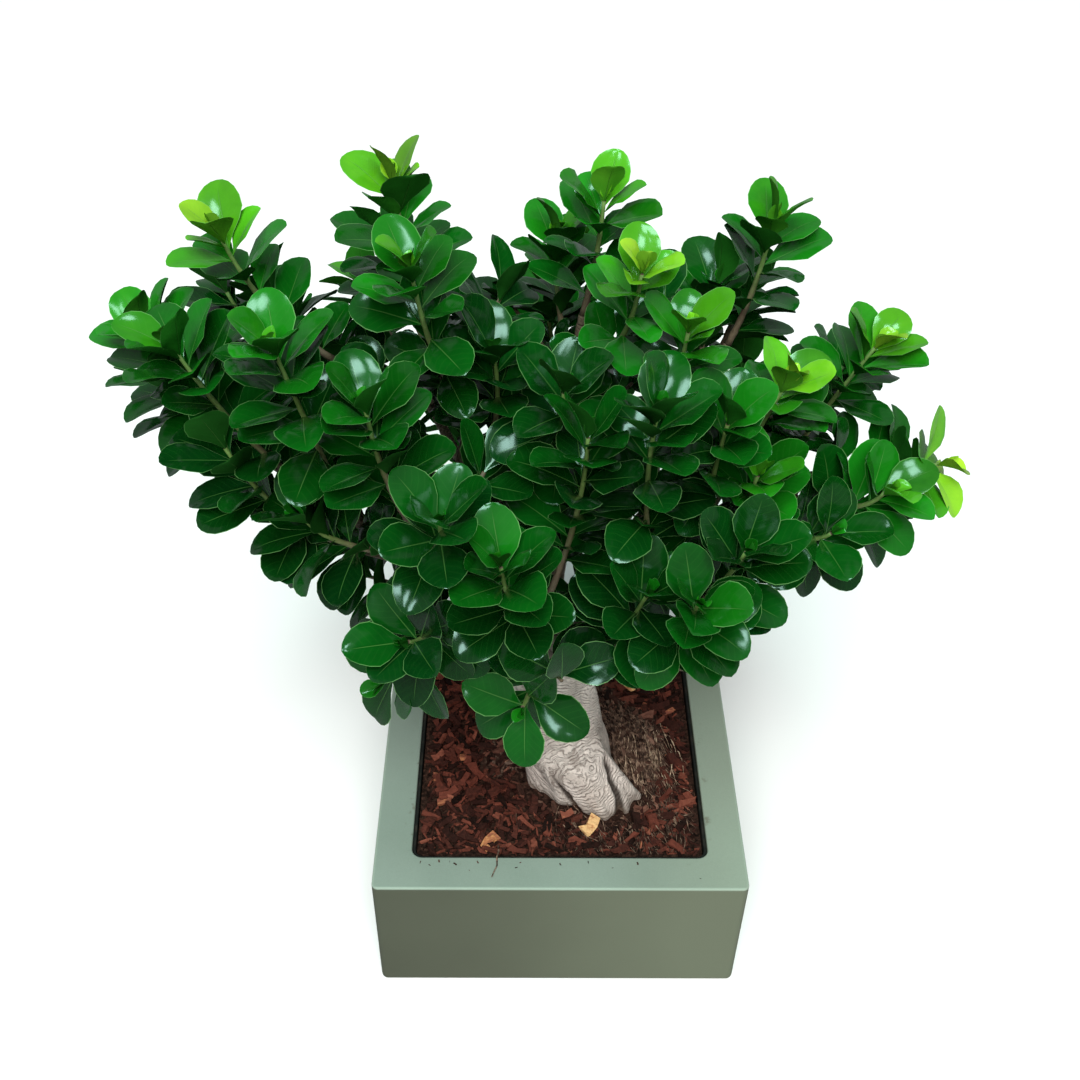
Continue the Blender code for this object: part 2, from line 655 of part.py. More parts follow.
def leaf_fits(shape, place, owner, standing):
    """Whether a leaf clears all that stands, its root being free to meet its own shoot."""
    points, faces = leaf_shape(*shape, grown=LEAF_MARGIN)
    points = [place @ p for p in points]
    if min(p.z for p in points) < LOWEST_LEAF:
        return False
    blade = [tuple(corner - 1 for corner in face) for face in faces if 0 not in face]
    if not standing.clear_of(points[1:], blade, None):
        return False
    return standing.clear_of(points, faces, owner)


def place_leaves(standing):
    """Every leaf's points and faces, by shoot: they go round the stems from the tips down."""
    leaves = {shoot.name: [] for shoot in SHOOTS}
    draws = {shoot.name: random.Random(BASE_SEED + number) for number, shoot in enumerate(SHOOTS)}
    stems = {shoot.name: shoot_points(shoot) for shoot in SHOOTS}
    for level in range(len(LEAF_STATIONS)):
        for shoot in SHOOTS:
            if level >= shoot.leaves:
                continue
            for attempt in range(LEAF_TRIES):
                loose = attempt / LEAF_TRIES
                shape, place = draw_leaf(draws[shoot.name], shoot, stems[shoot.name], level, loose)
                if leaf_fits(shape, place, shoot.name, standing):
                    points, faces = leaf_shape(*shape)
                    points = [place @ p for p in points]
                    leaves[shoot.name].append((points, faces))
                    standing.add(shoot.name, points, faces)
                    break
    return leaves


def make_shoots(collection, trunk, material):
    standing = Solids()
    standing.add_object("trunk", trunk)
    stems = {}
    for shoot in SHOOTS:
        stem = tube("shoot_" + shoot.name, shoot_points(shoot), STEM_ROOT_RADIUS,
                    STEM_TIP_RADIUS, 0, material, collection)
        standing.add_object(shoot.name, stem)
        stems[shoot.name] = stem
    for name, leaves in place_leaves(standing).items():
        helpers = new_collection("leaves_" + name)
        for number, (points, faces) in enumerate(leaves):
            bm = bmesh.new()
            corners = [bm.verts.new(p) for p in points]
            for face in faces:
                bm.faces.new([corners[i] for i in face])
            mesh_object("leaf_%s_%02d" % (name, number), bm, material, helpers)
        join_collection(stems[name], helpers)


def build():
    clear_scene()
    collection = new_collection("potted_ginseng_ficus")
    cutters = new_collection("cutters")
    glaze = surface("sage_matt_glaze", (0.29, 0.36, 0.30), 0.62)
    black = surface("black_insert", (0.012, 0.013, 0.012), 0.55)
    bark_soil = surface("bark_soil", (0.085, 0.038, 0.024), 0.92)
    bark = surface("pale_bark", (0.43, 0.36, 0.28), 0.85)
    leaf = surface("ficus_leaf", (0.018, 0.16, 0.022), 0.28)
    make_pot(collection, cutters, glaze)
    make_liner(collection, cutters, black)
    make_soil(collection, cutters, bark_soil)
    trunk = make_trunk(collection, bark)
    make_shoots(collection, trunk, leaf)


build()
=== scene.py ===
# Potted ginseng ficus bonsai: matt glazed planter, black insert, bark chips and root fibre,
# the wrinkled trunk with its limbs, and the leafy shoots.
import math
import random
from collections import namedtuple

import bmesh
import bpy
import numpy as np
from mathutils import Matrix, Vector, noise
from mathutils.bvhtree import BVHTree


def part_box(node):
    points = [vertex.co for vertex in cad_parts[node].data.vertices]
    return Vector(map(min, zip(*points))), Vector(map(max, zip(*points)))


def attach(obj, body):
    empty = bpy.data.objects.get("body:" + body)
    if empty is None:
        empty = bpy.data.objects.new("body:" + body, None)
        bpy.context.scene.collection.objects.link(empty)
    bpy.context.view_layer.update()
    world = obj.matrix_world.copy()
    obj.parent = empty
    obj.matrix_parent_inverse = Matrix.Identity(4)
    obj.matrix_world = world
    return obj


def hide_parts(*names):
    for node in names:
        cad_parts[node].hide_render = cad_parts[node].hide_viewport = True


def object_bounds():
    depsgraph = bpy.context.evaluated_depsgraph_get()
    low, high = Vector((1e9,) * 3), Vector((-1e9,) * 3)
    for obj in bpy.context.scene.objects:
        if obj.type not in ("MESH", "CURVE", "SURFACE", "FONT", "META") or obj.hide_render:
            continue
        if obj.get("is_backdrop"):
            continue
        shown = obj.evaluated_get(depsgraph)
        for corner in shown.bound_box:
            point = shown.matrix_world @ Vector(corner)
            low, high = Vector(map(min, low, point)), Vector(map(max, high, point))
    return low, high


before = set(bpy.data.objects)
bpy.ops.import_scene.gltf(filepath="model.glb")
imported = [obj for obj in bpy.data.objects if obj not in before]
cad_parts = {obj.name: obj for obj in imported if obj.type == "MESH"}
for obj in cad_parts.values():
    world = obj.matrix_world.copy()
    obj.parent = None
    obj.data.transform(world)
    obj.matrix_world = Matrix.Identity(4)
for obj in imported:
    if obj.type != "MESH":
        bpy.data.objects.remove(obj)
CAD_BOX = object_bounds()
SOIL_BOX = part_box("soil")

SCENE = bpy.context.scene
# What counts as no distance, and the gap between two pieces that rest on each other
TOUCH = 1e-6
CLEAR = 0.0003
# Where the random draws start
BASE_SEED = 41
FOLIAGE_SEED = 4100
SPRIG_SEED = 123
FIBRE_SEED = 48

# The camera, in metres and degrees: it looks down at the plant from in front
CAMERA_PLACE = (-0.029, -0.697, 0.949)
CAMERA_TURN = -0.94
CAMERA_TILT = 49.1
CAMERA_ROLL = 1.0
CAMERA_LENS = 43.4

# The lights: which way they stand from the plant, and how large and strong they are
SKY_PLACE = (-0.05, -0.76, 0.88)
SKY_ANGLE = 40.0
SKY_POWER = 3.8
SKY_COLOUR = (1.0, 0.965, 0.945)
LAMP_PLACES = ((-0.60, -0.85, 2.05), (0.35, -1.00, 2.05), (0.05, -0.30, 2.25))
LAMP_AIM = (0.0, 0.0, 0.4)
LAMP_SIZE = 0.48
LAMP_POWER = 10.0
LAMP_COLOUR = (0.62, 0.98, 0.90)
AIR_COLOUR = (0.88, 0.98, 0.97, 1.0)
AIR_STRENGTH = 0.24
FLOOR_SIZE = 12.0
FLOOR_COLOUR = (0.90, 0.90, 0.90, 1.0)

# The planter: its wall, the rim's width and the depth that it turns down, and its roundings
POT_WALL = 0.005
RIM_WIDTH = 0.028
LIP_DEPTH = 0.022
POT_CORNER = 0.005
RIM_EDGE = 0.0014
MOUTH_CORNER = 0.008

# The level soil, its crumbs as two grains with their heights, and how far its foot draws in
SOIL_LEVEL = 0.117
SOIL_CELLS = 150
SOIL_GRAINS = ((260, 0, 0.0011), (60, 3, 0.0012))
SOIL_FOOT = 0.92
# The root ball that stands up round the trunk: the middle, spread and height of its mounds
MOUNDS = (
    (0.055, -0.002, 0.035, 0.015),
    (0.008, 0.040, 0.040, 0.012),
    (-0.040, -0.010, 0.030, 0.006),
)
MOUND_FADE = 0.030
# The soil turns to peat and roots from this rise on, over this much more
BALL_RISE = 0.002
BALL_BLEND = 0.005
# The bark is banked up along the insert's walls
BANK_HEIGHT = 0.0030
BANK_WIDTH = 0.016

# Bark chips: the patterns' widths and thickness for a length of 1, how many are in a row of the
# bed and how many lie loose on it, with their lengths
CHIP_WIDTHS = (0.62, 0.50, 0.40, 0.34, 0.30, 0.26, 0.45, 0.22)
CHIP_THICKNESS = 0.20
CHIP_ROWS = 46
BED_SIZE = (0.004, 0.011)
LOOSE_CHIPS = 420
LOOSE_SIZE = (0.008, 0.018)
LOOSE_RISE = 0.0014
# The middle and the spread of their tone, and its darkest and palest
CHIP_TONE = (0.37, 0.19)
DARKEST_CHIP = 0.0
PALEST_CHIP = 0.85
# How far chips keep from the walls, and by a share of their length from walls and trunk
CHIP_MARGIN = 0.002
CHIP_TO_WALL = 0.25
CHIP_TO_TRUNK = 0.3
# The share of its length that a chip stands up by, and how much it leans, as an angle
CHIP_SEAT = 0.07
CHIP_LEAN = 0.28
# Over the root ball, and near the trunk, some chips are left out and the rest are small peat
CRUMBLE_BLEND = 0.006
CRUMBLE_NEAR = 0.016
CRUMBLE_FADE = 0.010
CRUMBLE_LOSS = 0.15
CRUMBLE_SHRINK = 0.35
CRUMBLE_SHADE = (0.6, 1.0)
# The pale or orange chips that catch the eye: x, y, length and tone
PLACED_LEAN = 0.08
PLACED_LIFT = 0.0022
PLACED_CHIPS = (
    (0.0240, -0.0775, 0.018, 1.00),
    (-0.0534, -0.0943, 0.015, 0.91),
    (0.0063, -0.0670, 0.010, 0.80),
    (0.0624, 0.0659, 0.010, 0.97),
    (0.1000, 0.0874, 0.012, 0.94),
    (-0.0900, -0.0560, 0.011, 0.84),
    (0.0939, 0.0387, 0.012, 0.86),
)
# Hair roots on the root ball: how many, the side of the trunk that they start on, as a middle
# and a spread in degrees, how far out, the way that they head, and their count of steps
FIBRES = 430
FIBRE_SIDE = (4.0, 50.0)
FIBRE_OUT = (-0.001, 0.040)
FIBRE_HEADING = (-74.0, 16.0)
FIBRE_STEPS = (4, 12)
FIBRE_STRAY = 0.16
# The long pale ones on its right flank: how many, and where they start and head
STRANDS = 46
STRAND_FROM_X = (0.046, 0.094)
STRAND_FROM_Y = (-0.034, 0.026)
STRAND_HEADING = (-80.0, 9.0)
STRAND_STEPS = (6, 14)
STRAND_STRAY = 0.09
# Of both: the length of a step, the height over the soil, the bend, the radii and the taper
FIBRE_STEP = 0.0036
FIBRE_LIFT = (0.0008, 0.0034)
FIBRE_BEND = 0.04
FIBRE_RADII = (0.00018, 0.00024, 0.00032, 0.00050)
FIBRE_TAPER = 0.6
# The fewest points of one, how far it keeps from the insert, and how far it enters the trunk
FIBRE_FEWEST = 3
FIBRE_MARGIN = 0.003
FIBRE_SINK = 0.002
DARK_ROOT = ((0.020, 0.011, 0.008), (0.085, 0.047, 0.033), (0.250, 0.160, 0.112))
PALE_ROOT = ((0.120, 0.074, 0.048), (0.330, 0.225, 0.150), (0.600, 0.450, 0.320))
# A dead twig that lies over the planter's front rim
TWIG = (
    (-0.0470, -0.097, 0.1195),
    (-0.0465, -0.106, 0.1245),
    (-0.0478, -0.113, 0.1277),
    (-0.0474, -0.120, 0.1268),
    (-0.0500, -0.127, 0.1272),
    (-0.0512, -0.131, 0.1280),
)
TWIG_RADIUS = 0.0007
# The crumbs on the rim: x, y and size
RIM_LEVEL = 0.126
RIM_LEAN = 0.05
RIM_TONE = (0.1, 0.6)
RIM_CRUMBS = (
    (-0.105, -0.1170, 0.0022),
    (-0.098, -0.1195, 0.0016),
    (-0.091, -0.1160, 0.0026),
    (-0.083, -0.1162, 0.0018),
    (-0.079, -0.1185, 0.0028),
    (-0.068, -0.1240, 0.0014),
    (-0.062, -0.1168, 0.0024),
    (-0.033, -0.1215, 0.0020),
    (-0.030, -0.1170, 0.0016),
    (0.000, -0.1185, 0.0018),
    (0.021, -0.1165, 0.0020),
    (0.039, -0.1215, 0.0014),
    (0.058, -0.1175, 0.0022),
    (0.104, -0.1305, 0.0016),
)

# The trunk: height, middle of the ring (x, y) and radius, from its buried foot to its crown
TRUNK_RINGS = (
    (0.070, 0.014, -0.012, 0.022),
    (0.090, 0.016, -0.013, 0.030),
    (0.110, 0.015, -0.014, 0.032),
    (0.122, 0.013, -0.014, 0.032),
    (0.138, 0.008, -0.014, 0.033),
    (0.158, 0.000, -0.014, 0.035),
    (0.180, -0.006, -0.013, 0.037),
    (0.202, -0.010, -0.012, 0.037),
    (0.221, -0.011, -0.010, 0.034),
    (0.240, -0.008, -0.008, 0.034),
    (0.257, -0.006, -0.006, 0.030),
    (0.269, -0.005, -0.004, 0.020),
)
# Root swellings that spread at the ground: direction in degrees, half width in degrees, reach
ROOT_LOBES = (
    (-69.0, 20.0, 0.0255),
    (-34.0, 12.0, 0.028),
    (-52.0, 11.0, 0.014),
    (-108.0, 17.0, 0.010),
    (-146.0, 26.0, 0.012),
    (146.0, 30.0, 0.010),
    (60.0, 28.0, 0.006),
)
LOBE_CREST = 1.45
LOBE_TOP = 0.200
LOBE_GROUND = 0.118
LOBE_FALL = 1.8
FLUTES = 3
FLUTE_DEPTH = 0.03
FLUTE_TWIST = 40.0
TRUNK_SIDES = 120
TRUNK_CUTS = 90
BARK_VOXEL = 0.0014
# The bark has pits all over, and on the trunk, up to its crown, bulges, folds and ripples. A
# grain is how fine the noise is that shapes them
PIT_GRAIN = 300
PIT_DEPTH = 0.00018
CROWN_LEVEL = 0.235
CROWN_BLEND = 0.04
BULGE_GRAIN = Vector((50, 50, 26))
BULGE_DEPTH = 0.0013
BULGE_START = Vector((7, 3, 5))
FOLD_GRAIN = Vector((42, 42, 22))
FOLD_SHARPNESS = 2.6
FOLD_DEPTH = 0.0011
# How much painted shade darkens a fold
FOLD_SHADE = 0.45
RIPPLE_STEP = 0.0075
RIPPLE_DEPTH = 0.00022
RIPPLE_GRAIN = 30
RIPPLE_BEND = 0.010
# The ring wrinkles' middle and spacing
WHORL = Vector((0.018, -0.044, 0.151))
WRINKLE_STEP = 0.0028
# The cracks that run up from the ground between the roots: each one's heights with the
# directions that it stands in there, its half width in degrees and its depth
CRACKS = (
    ((0.117, 0.123, 0.140, 0.154, 0.161, 0.170, 0.190),
     (-58.0, -54.0, -45.5, -38.0, -30.0, -19.0, -4.0), 1.9, 0.0045),
    ((0.112, 0.125, 0.138, 0.152, 0.164),
     (-86.0, -94.4, -100.7, -105.5, -109.0), 1.8, 0.0034),
)
# How far a crack wanders in degrees, how narrow it ends, and how dark and how wide its painted shade
# is
CRACK_WANDER = 3.0
CRACK_GRAIN = 90
CRACK_END = 0.6
CRACK_SHADE = 1.2
CRACK_SHADE_WIDTH = 1.35
# A crack's lip stands up beside it: how far beside it in degrees, and how high
LIP_TURN = 7.0
LIP_RISE = 0.0012

# Limbs: the four guide points of each one's curve, then its radius at both ends
LIMBS = {
    "left": (((-0.015, -0.015, 0.250), (-0.075, -0.025, 0.315), (-0.140, -0.032, 0.385),
              (-0.188, -0.025, 0.435)), 0.0065, 0.0030),
    "left_up": (((-0.014, 0.000, 0.252), (-0.060, 0.005, 0.350), (-0.120, 0.010, 0.430),
                 (-0.152, 0.008, 0.490)), 0.0060, 0.0030),
    "front_left": (((-0.018, -0.024, 0.248), (-0.050, -0.060, 0.320), (-0.085, -0.080, 0.390),
                    (-0.100, -0.090, 0.440)), 0.0055, 0.0028),
    "upper_left": (((-0.012, -0.004, 0.255), (-0.035, 0.005, 0.360), (-0.065, 0.000, 0.440),
                    (-0.082, 0.000, 0.505)), 0.0060, 0.0028),
    "centre": (((-0.006, -0.002, 0.255), (-0.005, 0.025, 0.360), (0.000, 0.035, 0.440),
                (0.008, 0.032, 0.510)), 0.0065, 0.0030),
    "right_up": (((-0.002, 0.000, 0.253), (0.040, 0.020, 0.350), (0.080, 0.032, 0.425),
                  (0.105, 0.038, 0.485)), 0.0060, 0.0030),
    "right": (((0.000, -0.010, 0.250), (0.070, -0.015, 0.315), (0.130, -0.015, 0.370),
               (0.165, -0.010, 0.415)), 0.0065, 0.0030),
    "front": (((-0.010, -0.024, 0.246), (-0.008, -0.075, 0.300), (-0.020, -0.105, 0.345),
               (-0.028, -0.120, 0.380)), 0.0055, 0.0028),
    "front_right": (((0.000, -0.022, 0.248), (0.035, -0.065, 0.300), (0.055, -0.090, 0.335),
                     (0.062, -0.105, 0.365)), 0.0055, 0.0028),
    "back_left": (((-0.018, 0.006, 0.250), (-0.050, 0.060, 0.320), (-0.095, 0.100, 0.375),
                   (-0.120, 0.125, 0.420)), 0.0055, 0.0028),
    "back": (((-0.008, 0.008, 0.250), (0.005, 0.075, 0.315), (0.010, 0.125, 0.365),
              (0.015, 0.150, 0.405)), 0.0055, 0.0028),
    "back_right": (((0.000, 0.006, 0.250), (0.055, 0.060, 0.315), (0.105, 0.095, 0.360),
                    (0.130, 0.110, 0.400)), 0.0055, 0.0028),
}

# Leafy shoots: name, limb, how far along the limb it starts (1 is the limb's end), its tip,
# the turn of its first leaf in degrees, its number of leaves that the solids have too, and
# how young and light the leaves of its tip are, from 0 to 1
Shoot = namedtuple("Shoot", "name limb start tip turn leaves youth")
SHOOTS = tuple(Shoot(*row) for row in (
    ("far_left", "left", 1.00, (-0.260, -0.012, 0.521), 170, 8, 0.55),
    ("left_near", "left", 0.78, (-0.231, -0.058, 0.539), 30, 8, 0.45),
    ("left_rosette", "left", 0.72, (-0.167, -0.088, 0.558), 20, 8, 0.45),
    ("left_low", "left", 0.80, (-0.263, 0.030, 0.451), 80, 7, 0.05),
    ("left_under", "left", 0.50, (-0.212, -0.058, 0.468), 150, 7, 0.05),
    ("left_top", "left_up", 1.00, (-0.209, 0.000, 0.580), 0, 8, 0.85),
    ("left_back", "left_up", 0.78, (-0.205, 0.085, 0.492), 60, 7, 0.25),
    ("left_mid", "left_up", 0.62, (-0.230, 0.075, 0.499), 140, 6, 0.10),
    ("front_left_top", "front_left", 1.00, (-0.118, -0.100, 0.528), 30, 8, 0.30),
    ("front_left_low", "front_left", 0.52, (-0.100, -0.128, 0.372), 10, 7, 0.05),
    ("front_left_hang", "front_left", 0.36, (-0.119, -0.108, 0.314), 200, 6, 0.10),
    ("front_left_side", "front_left", 0.74, (-0.162, -0.085, 0.432), 120, 7, 0.10),
    ("front_left_mid", "front_left", 0.86, (-0.077, -0.132, 0.472), 70, 6, 0.15),
    ("crown_left", "upper_left", 1.00, (-0.108, 0.025, 0.602), 90, 8, 0.85),
    ("crown_left_front", "upper_left", 0.86, (-0.093, -0.050, 0.586), 40, 8, 0.60),
    ("crown_inner", "upper_left", 0.62, (-0.048, -0.025, 0.515), 10, 6, 0.10),
    ("crown_left_back", "upper_left", 0.70, (-0.121, 0.080, 0.536), 90, 7, 0.30),
    ("crown", "centre", 1.00, (0.018, 0.030, 0.590), 120, 8, 0.70),
    ("crown_back", "centre", 0.78, (-0.009, 0.078, 0.539), 45, 7, 0.60),
    ("crown_front", "centre", 0.82, (0.037, -0.040, 0.580), 15, 8, 0.90),
    ("centre_mid", "centre", 0.56, (-0.006, -0.060, 0.512), 75, 6, 0.15),
    ("right_top", "right_up", 1.00, (0.125, 0.045, 0.566), 20, 8, 0.65),
    ("right_top_inner", "right_up", 0.80, (0.098, 0.062, 0.515), 50, 6, 0.30),
    ("right_bright", "right_up", 0.66, (0.066, -0.045, 0.545), 80, 7, 0.70),
    ("right_back_top", "right_up", 0.88, (0.127, 0.112, 0.489), 30, 7, 0.35),
    ("right_high", "right", 0.62, (0.198, 0.022, 0.493), 110, 8, 0.80),
    ("right_inner_high", "right", 0.40, (0.132, -0.028, 0.498), 40, 7, 0.85),
    ("far_right", "right", 1.00, (0.245, -0.015, 0.427), 60, 8, 0.95),
    ("right_mid", "right", 0.86, (0.199, -0.056, 0.435), 100, 7, 0.55),
    ("right_small", "right", 0.60, (0.113, -0.074, 0.462), 25, 6, 0.55),
    ("right_hang", "right", 0.74, (0.168, -0.064, 0.408), 200, 6, 0.20),
    ("right_front", "right", 0.54, (0.089, -0.082, 0.506), 65, 7, 0.35),
    ("front_rosette", "front", 1.00, (-0.042, -0.145, 0.450), 20, 8, 0.30),
    ("front_low", "front", 0.42, (-0.029, -0.125, 0.309), 330, 6, 0.15),
    ("front_centre", "front", 0.84, (0.008, -0.085, 0.498), 55, 7, 0.25),
    ("front_right_top", "front_right", 1.00, (0.072, -0.152, 0.428), 35, 7, 0.30),
    ("front_right_low", "front_right", 0.50, (0.045, -0.128, 0.412), 85, 5, 0.10),
    ("front_right_mid", "front_right", 0.90, (0.046, -0.095, 0.522), 5, 7, 0.20),
    ("front_right_side", "front_right", 0.74, (0.102, -0.122, 0.442), 140, 6, 0.15),
    ("back_left_end", "back_left", 1.00, (-0.151, 0.165, 0.454), 15, 7, 0.60),
    ("back_left_side", "back_left", 0.60, (-0.198, 0.105, 0.405), 65, 7, 0.30),
    ("back_left_low", "back_left", 0.50, (-0.085, 0.162, 0.365), 95, 7, 0.15),
    ("back_end", "back", 1.00, (0.005, 0.195, 0.468), 25, 7, 0.70),
    ("back_high", "back", 0.80, (-0.013, 0.135, 0.460), 75, 6, 0.50),
    ("back_low", "back", 0.52, (0.045, 0.178, 0.368), 125, 7, 0.15),
    ("back_right_end", "back_right", 1.00, (0.138, 0.148, 0.397), 40, 7, 0.60),
    ("back_right_side", "back_right", 0.60, (0.196, 0.078, 0.442), 90, 7, 0.30),
    ("back_right_high", "back_right", 0.80, (0.090, 0.128, 0.461), 10, 6, 0.45),
))

# The limbs' skin: steps along each, its knots' swelling and spacing; then the shoots' stubs
SKIN_STEPS = 32
LIMB_KNOTS = (0.10, 3)
STUB_REACH = 0.013
STUB_RADII = (0.0034, 0.0029, 0.0025)
# The solids' stems, which clearances are tested with, and the finer stems that are seen
STEM_ROOT_RADIUS = 0.0023
STEM_TIP_RADIUS = 0.0014
FINE_RADII = (0.0023, 0.0011)
FINE_KNOTS = (0.16, 2)
FINE_STEPS = 16
SHOOT_COLLAR = 0.004
# The middle guide of a shoot's curve: its share of the way out and of the way up to the tip,
# and how far it bows sideways from the limb
SHOOT_OUT = 0.72
SHOOT_UP = 0.40
SHOOT_BOW = 0.13
SHOOT_STEPS = 3
LIMB_STEPS = 5
# The step along a curve, as a share of it, that its direction is taken over
CURVE_STEP = 0.02

# The solid leaf that clearances are tested with: its cross rows' places and breadths, and its
# half width and thickness
PROXY_ROWS = ((0.30, 0.50), (0.62, 1.00), (0.88, 0.74))
LEAF_SHAPE = 0.335
LEAF_THICKNESS = 0.0013
LEAF_TURN = 137.5
# The length that every leaf of an old shoot comes to
LEAF_FULL = 0.046
# The share of its lift that a leaf keeps on a stem that lies level
LEVEL_LIFT = 0.35
# Down the shoot from its tip: distance, leaf length and lift in degrees
LEAF_STATIONS = (
    (0.002, 0.026, 72.0),
    (0.006, 0.034, 60.0),
    (0.011, 0.040, 50.0),
    (0.018, 0.043, 42.0),
    (0.027, 0.045, 35.0),
    (0.038, 0.045, 29.0),
    (0.051, 0.044, 24.0),
    (0.066, 0.042, 20.0),
)
# The leaves between and below those, as dense as on the real plant
FILL_STATIONS = (
    (0.0085, 0.036, 55.0),
    (0.0145, 0.042, 46.0),
    (0.0225, 0.044, 38.0),
    (0.0325, 0.045, 32.0),
    (0.0445, 0.044, 26.0),
    (0.0585, 0.043, 22.0),
    (0.0740, 0.043, 22.0),
    (0.0820, 0.042, 14.0),
    (0.0900, 0.042, 24.0),
    (0.0990, 0.041, 12.0),
    (0.1080, 0.040, 20.0),
    (0.1180, 0.040, 10.0),
    (0.1280, 0.038, 18.0),
)
FILL_TURN = 66.0
SECOND_TURN = 201.0
SECOND_FROM = 0.020
# Young shoots that stand out above the crown have smaller leaves between, and one round of them
OPEN_YOUTH = 0.50
OPEN_HEIGHT = 0.53
OPEN_SIZE = 0.76
# The shoot that hangs in front of the trunk
NEAR_SHOOT = "front_low"
# The small curled leaves at a growing tip: length, lift and turn in degrees; and their form
BUD_LEAVES = (
    (0.016, 70.0, 100.0),
    (0.013, 78.0, 230.0),
    (0.010, 84.0, 340.0),
)
BUD_SIZE = (0.8, 1.2)
BUD_FOLD = 0.55
BUD_DROOP = (-0.3, 0.2)
BUD_ROLL = 20
BUD_YOUTH = 0.30
# A leaf's youth fades down the shoot over this distance, to this share, with some chance
YOUTH_REACH = 0.020
YOUTH_LEFT = 0.22
YOUTH_CHANCE = (-0.06, 0.08)
# Short inner sprigs along each limb, full of old dark leaves
SPRIG_SHARES = (0.34, 0.46, 0.57, 0.67, 0.77, 0.87)
SPRIG_LENGTH = (0.045, 0.070)
SPRIG_ALONG = 0.3
SPRIG_UP = Vector((0, 0, 0.25))
SPRIG_LIFT = Vector((0, 0, 0.012))
SPRIG_STEPS = 4
SPRIG_SLEEVE = (Vector((0.002, 0, 0)), Vector((-0.002, 0, 0)), Vector((0, 0.002, 0)))
SPRIG_TRIES = 16
SPRIG_RADII = (0.0020, 0.0012)
SPRIG_KNOTS = (0.1, 2)
SPRIG_STEM_YOUTH = 0.2
SPRIG_STEM_TONE = 0.5
SPRIG_LEAF_YOUTH = (0.0, 0.16)
SPRIG_YOUTH = 0.5
# A sprig is kept where it has this many leaves and one of them is this near its tip
SPRIG_FEWEST = 5
SPRIG_BARE = 0.003
SPRIG_STATIONS = (
    (0.0010, 0.036, 70.0),
    (0.0050, 0.040, 56.0),
    (0.0100, 0.043, 44.0),
    (0.0160, 0.044, 34.0),
    (0.0230, 0.044, 26.0),
    (0.0310, 0.043, 20.0),
    (0.0400, 0.042, 14.0),
    (0.0500, 0.040, 10.0),
)
# How much leaves differ by chance, and how much further from try to try for one that fits
SIZE_SPREAD = 0.06
TURN_SPREAD = 10.0
LIFT_SPREAD = 6.0
ROLL_SPREAD = 12.0
FOLD_RANGE = (0.12, 0.34)
DROOP_RANGE = (-0.06, 0.16)
LEAF_TRIES = 14
LOOSE_SHRINK = 0.25
LOOSE_TURN = 4.0
LOOSE_LIFT = (-30.0, 40.0)
LOOSE_ROLL = 2.0
LEAF_MARGIN = 0.0005
LOWEST_LEAF = 0.150
# The leaves between keep above a slope that leaves the trunk's foot in sight from in front
CLEARED_HEIGHT = 0.225
CLEARED_SLOPE = 0.85
LIGHT_PULL = Vector((0.0, -0.2, 0.9))
TURN_START = Vector((0.31, 0.95, 0.07))

# The modelled leaf: where its cross rows lie, its columns from edge to edge and its outline
BLADE_ROWS = (0.0, 0.08, 0.23, 0.40, 0.56, 0.71, 0.84, 0.93, 0.983, 1.0)
BLADE_COLUMNS = 4
BLADE_WIDEST = 0.59
BLADE_SHAPE = 0.330
BLADE_POINT = 0.52
PETIOLE_WIDTH = 0.03
BLADE_THICKNESS = 0.020
BLADE_ARRIS = 70
# How a leaf is bent: the swell of each half, waves along its edge, twist and the curl of its end
BULGE = 0.045
BULGE_REACH = 1.05
WAVE_DEPTH = 0.030
WAVE_COUNT = (1.0, 1.9)
TWIST = 0.25
CURL = 0.22
CURL_FROM = 0.55
CURL_OF_YOUTH = 2.5


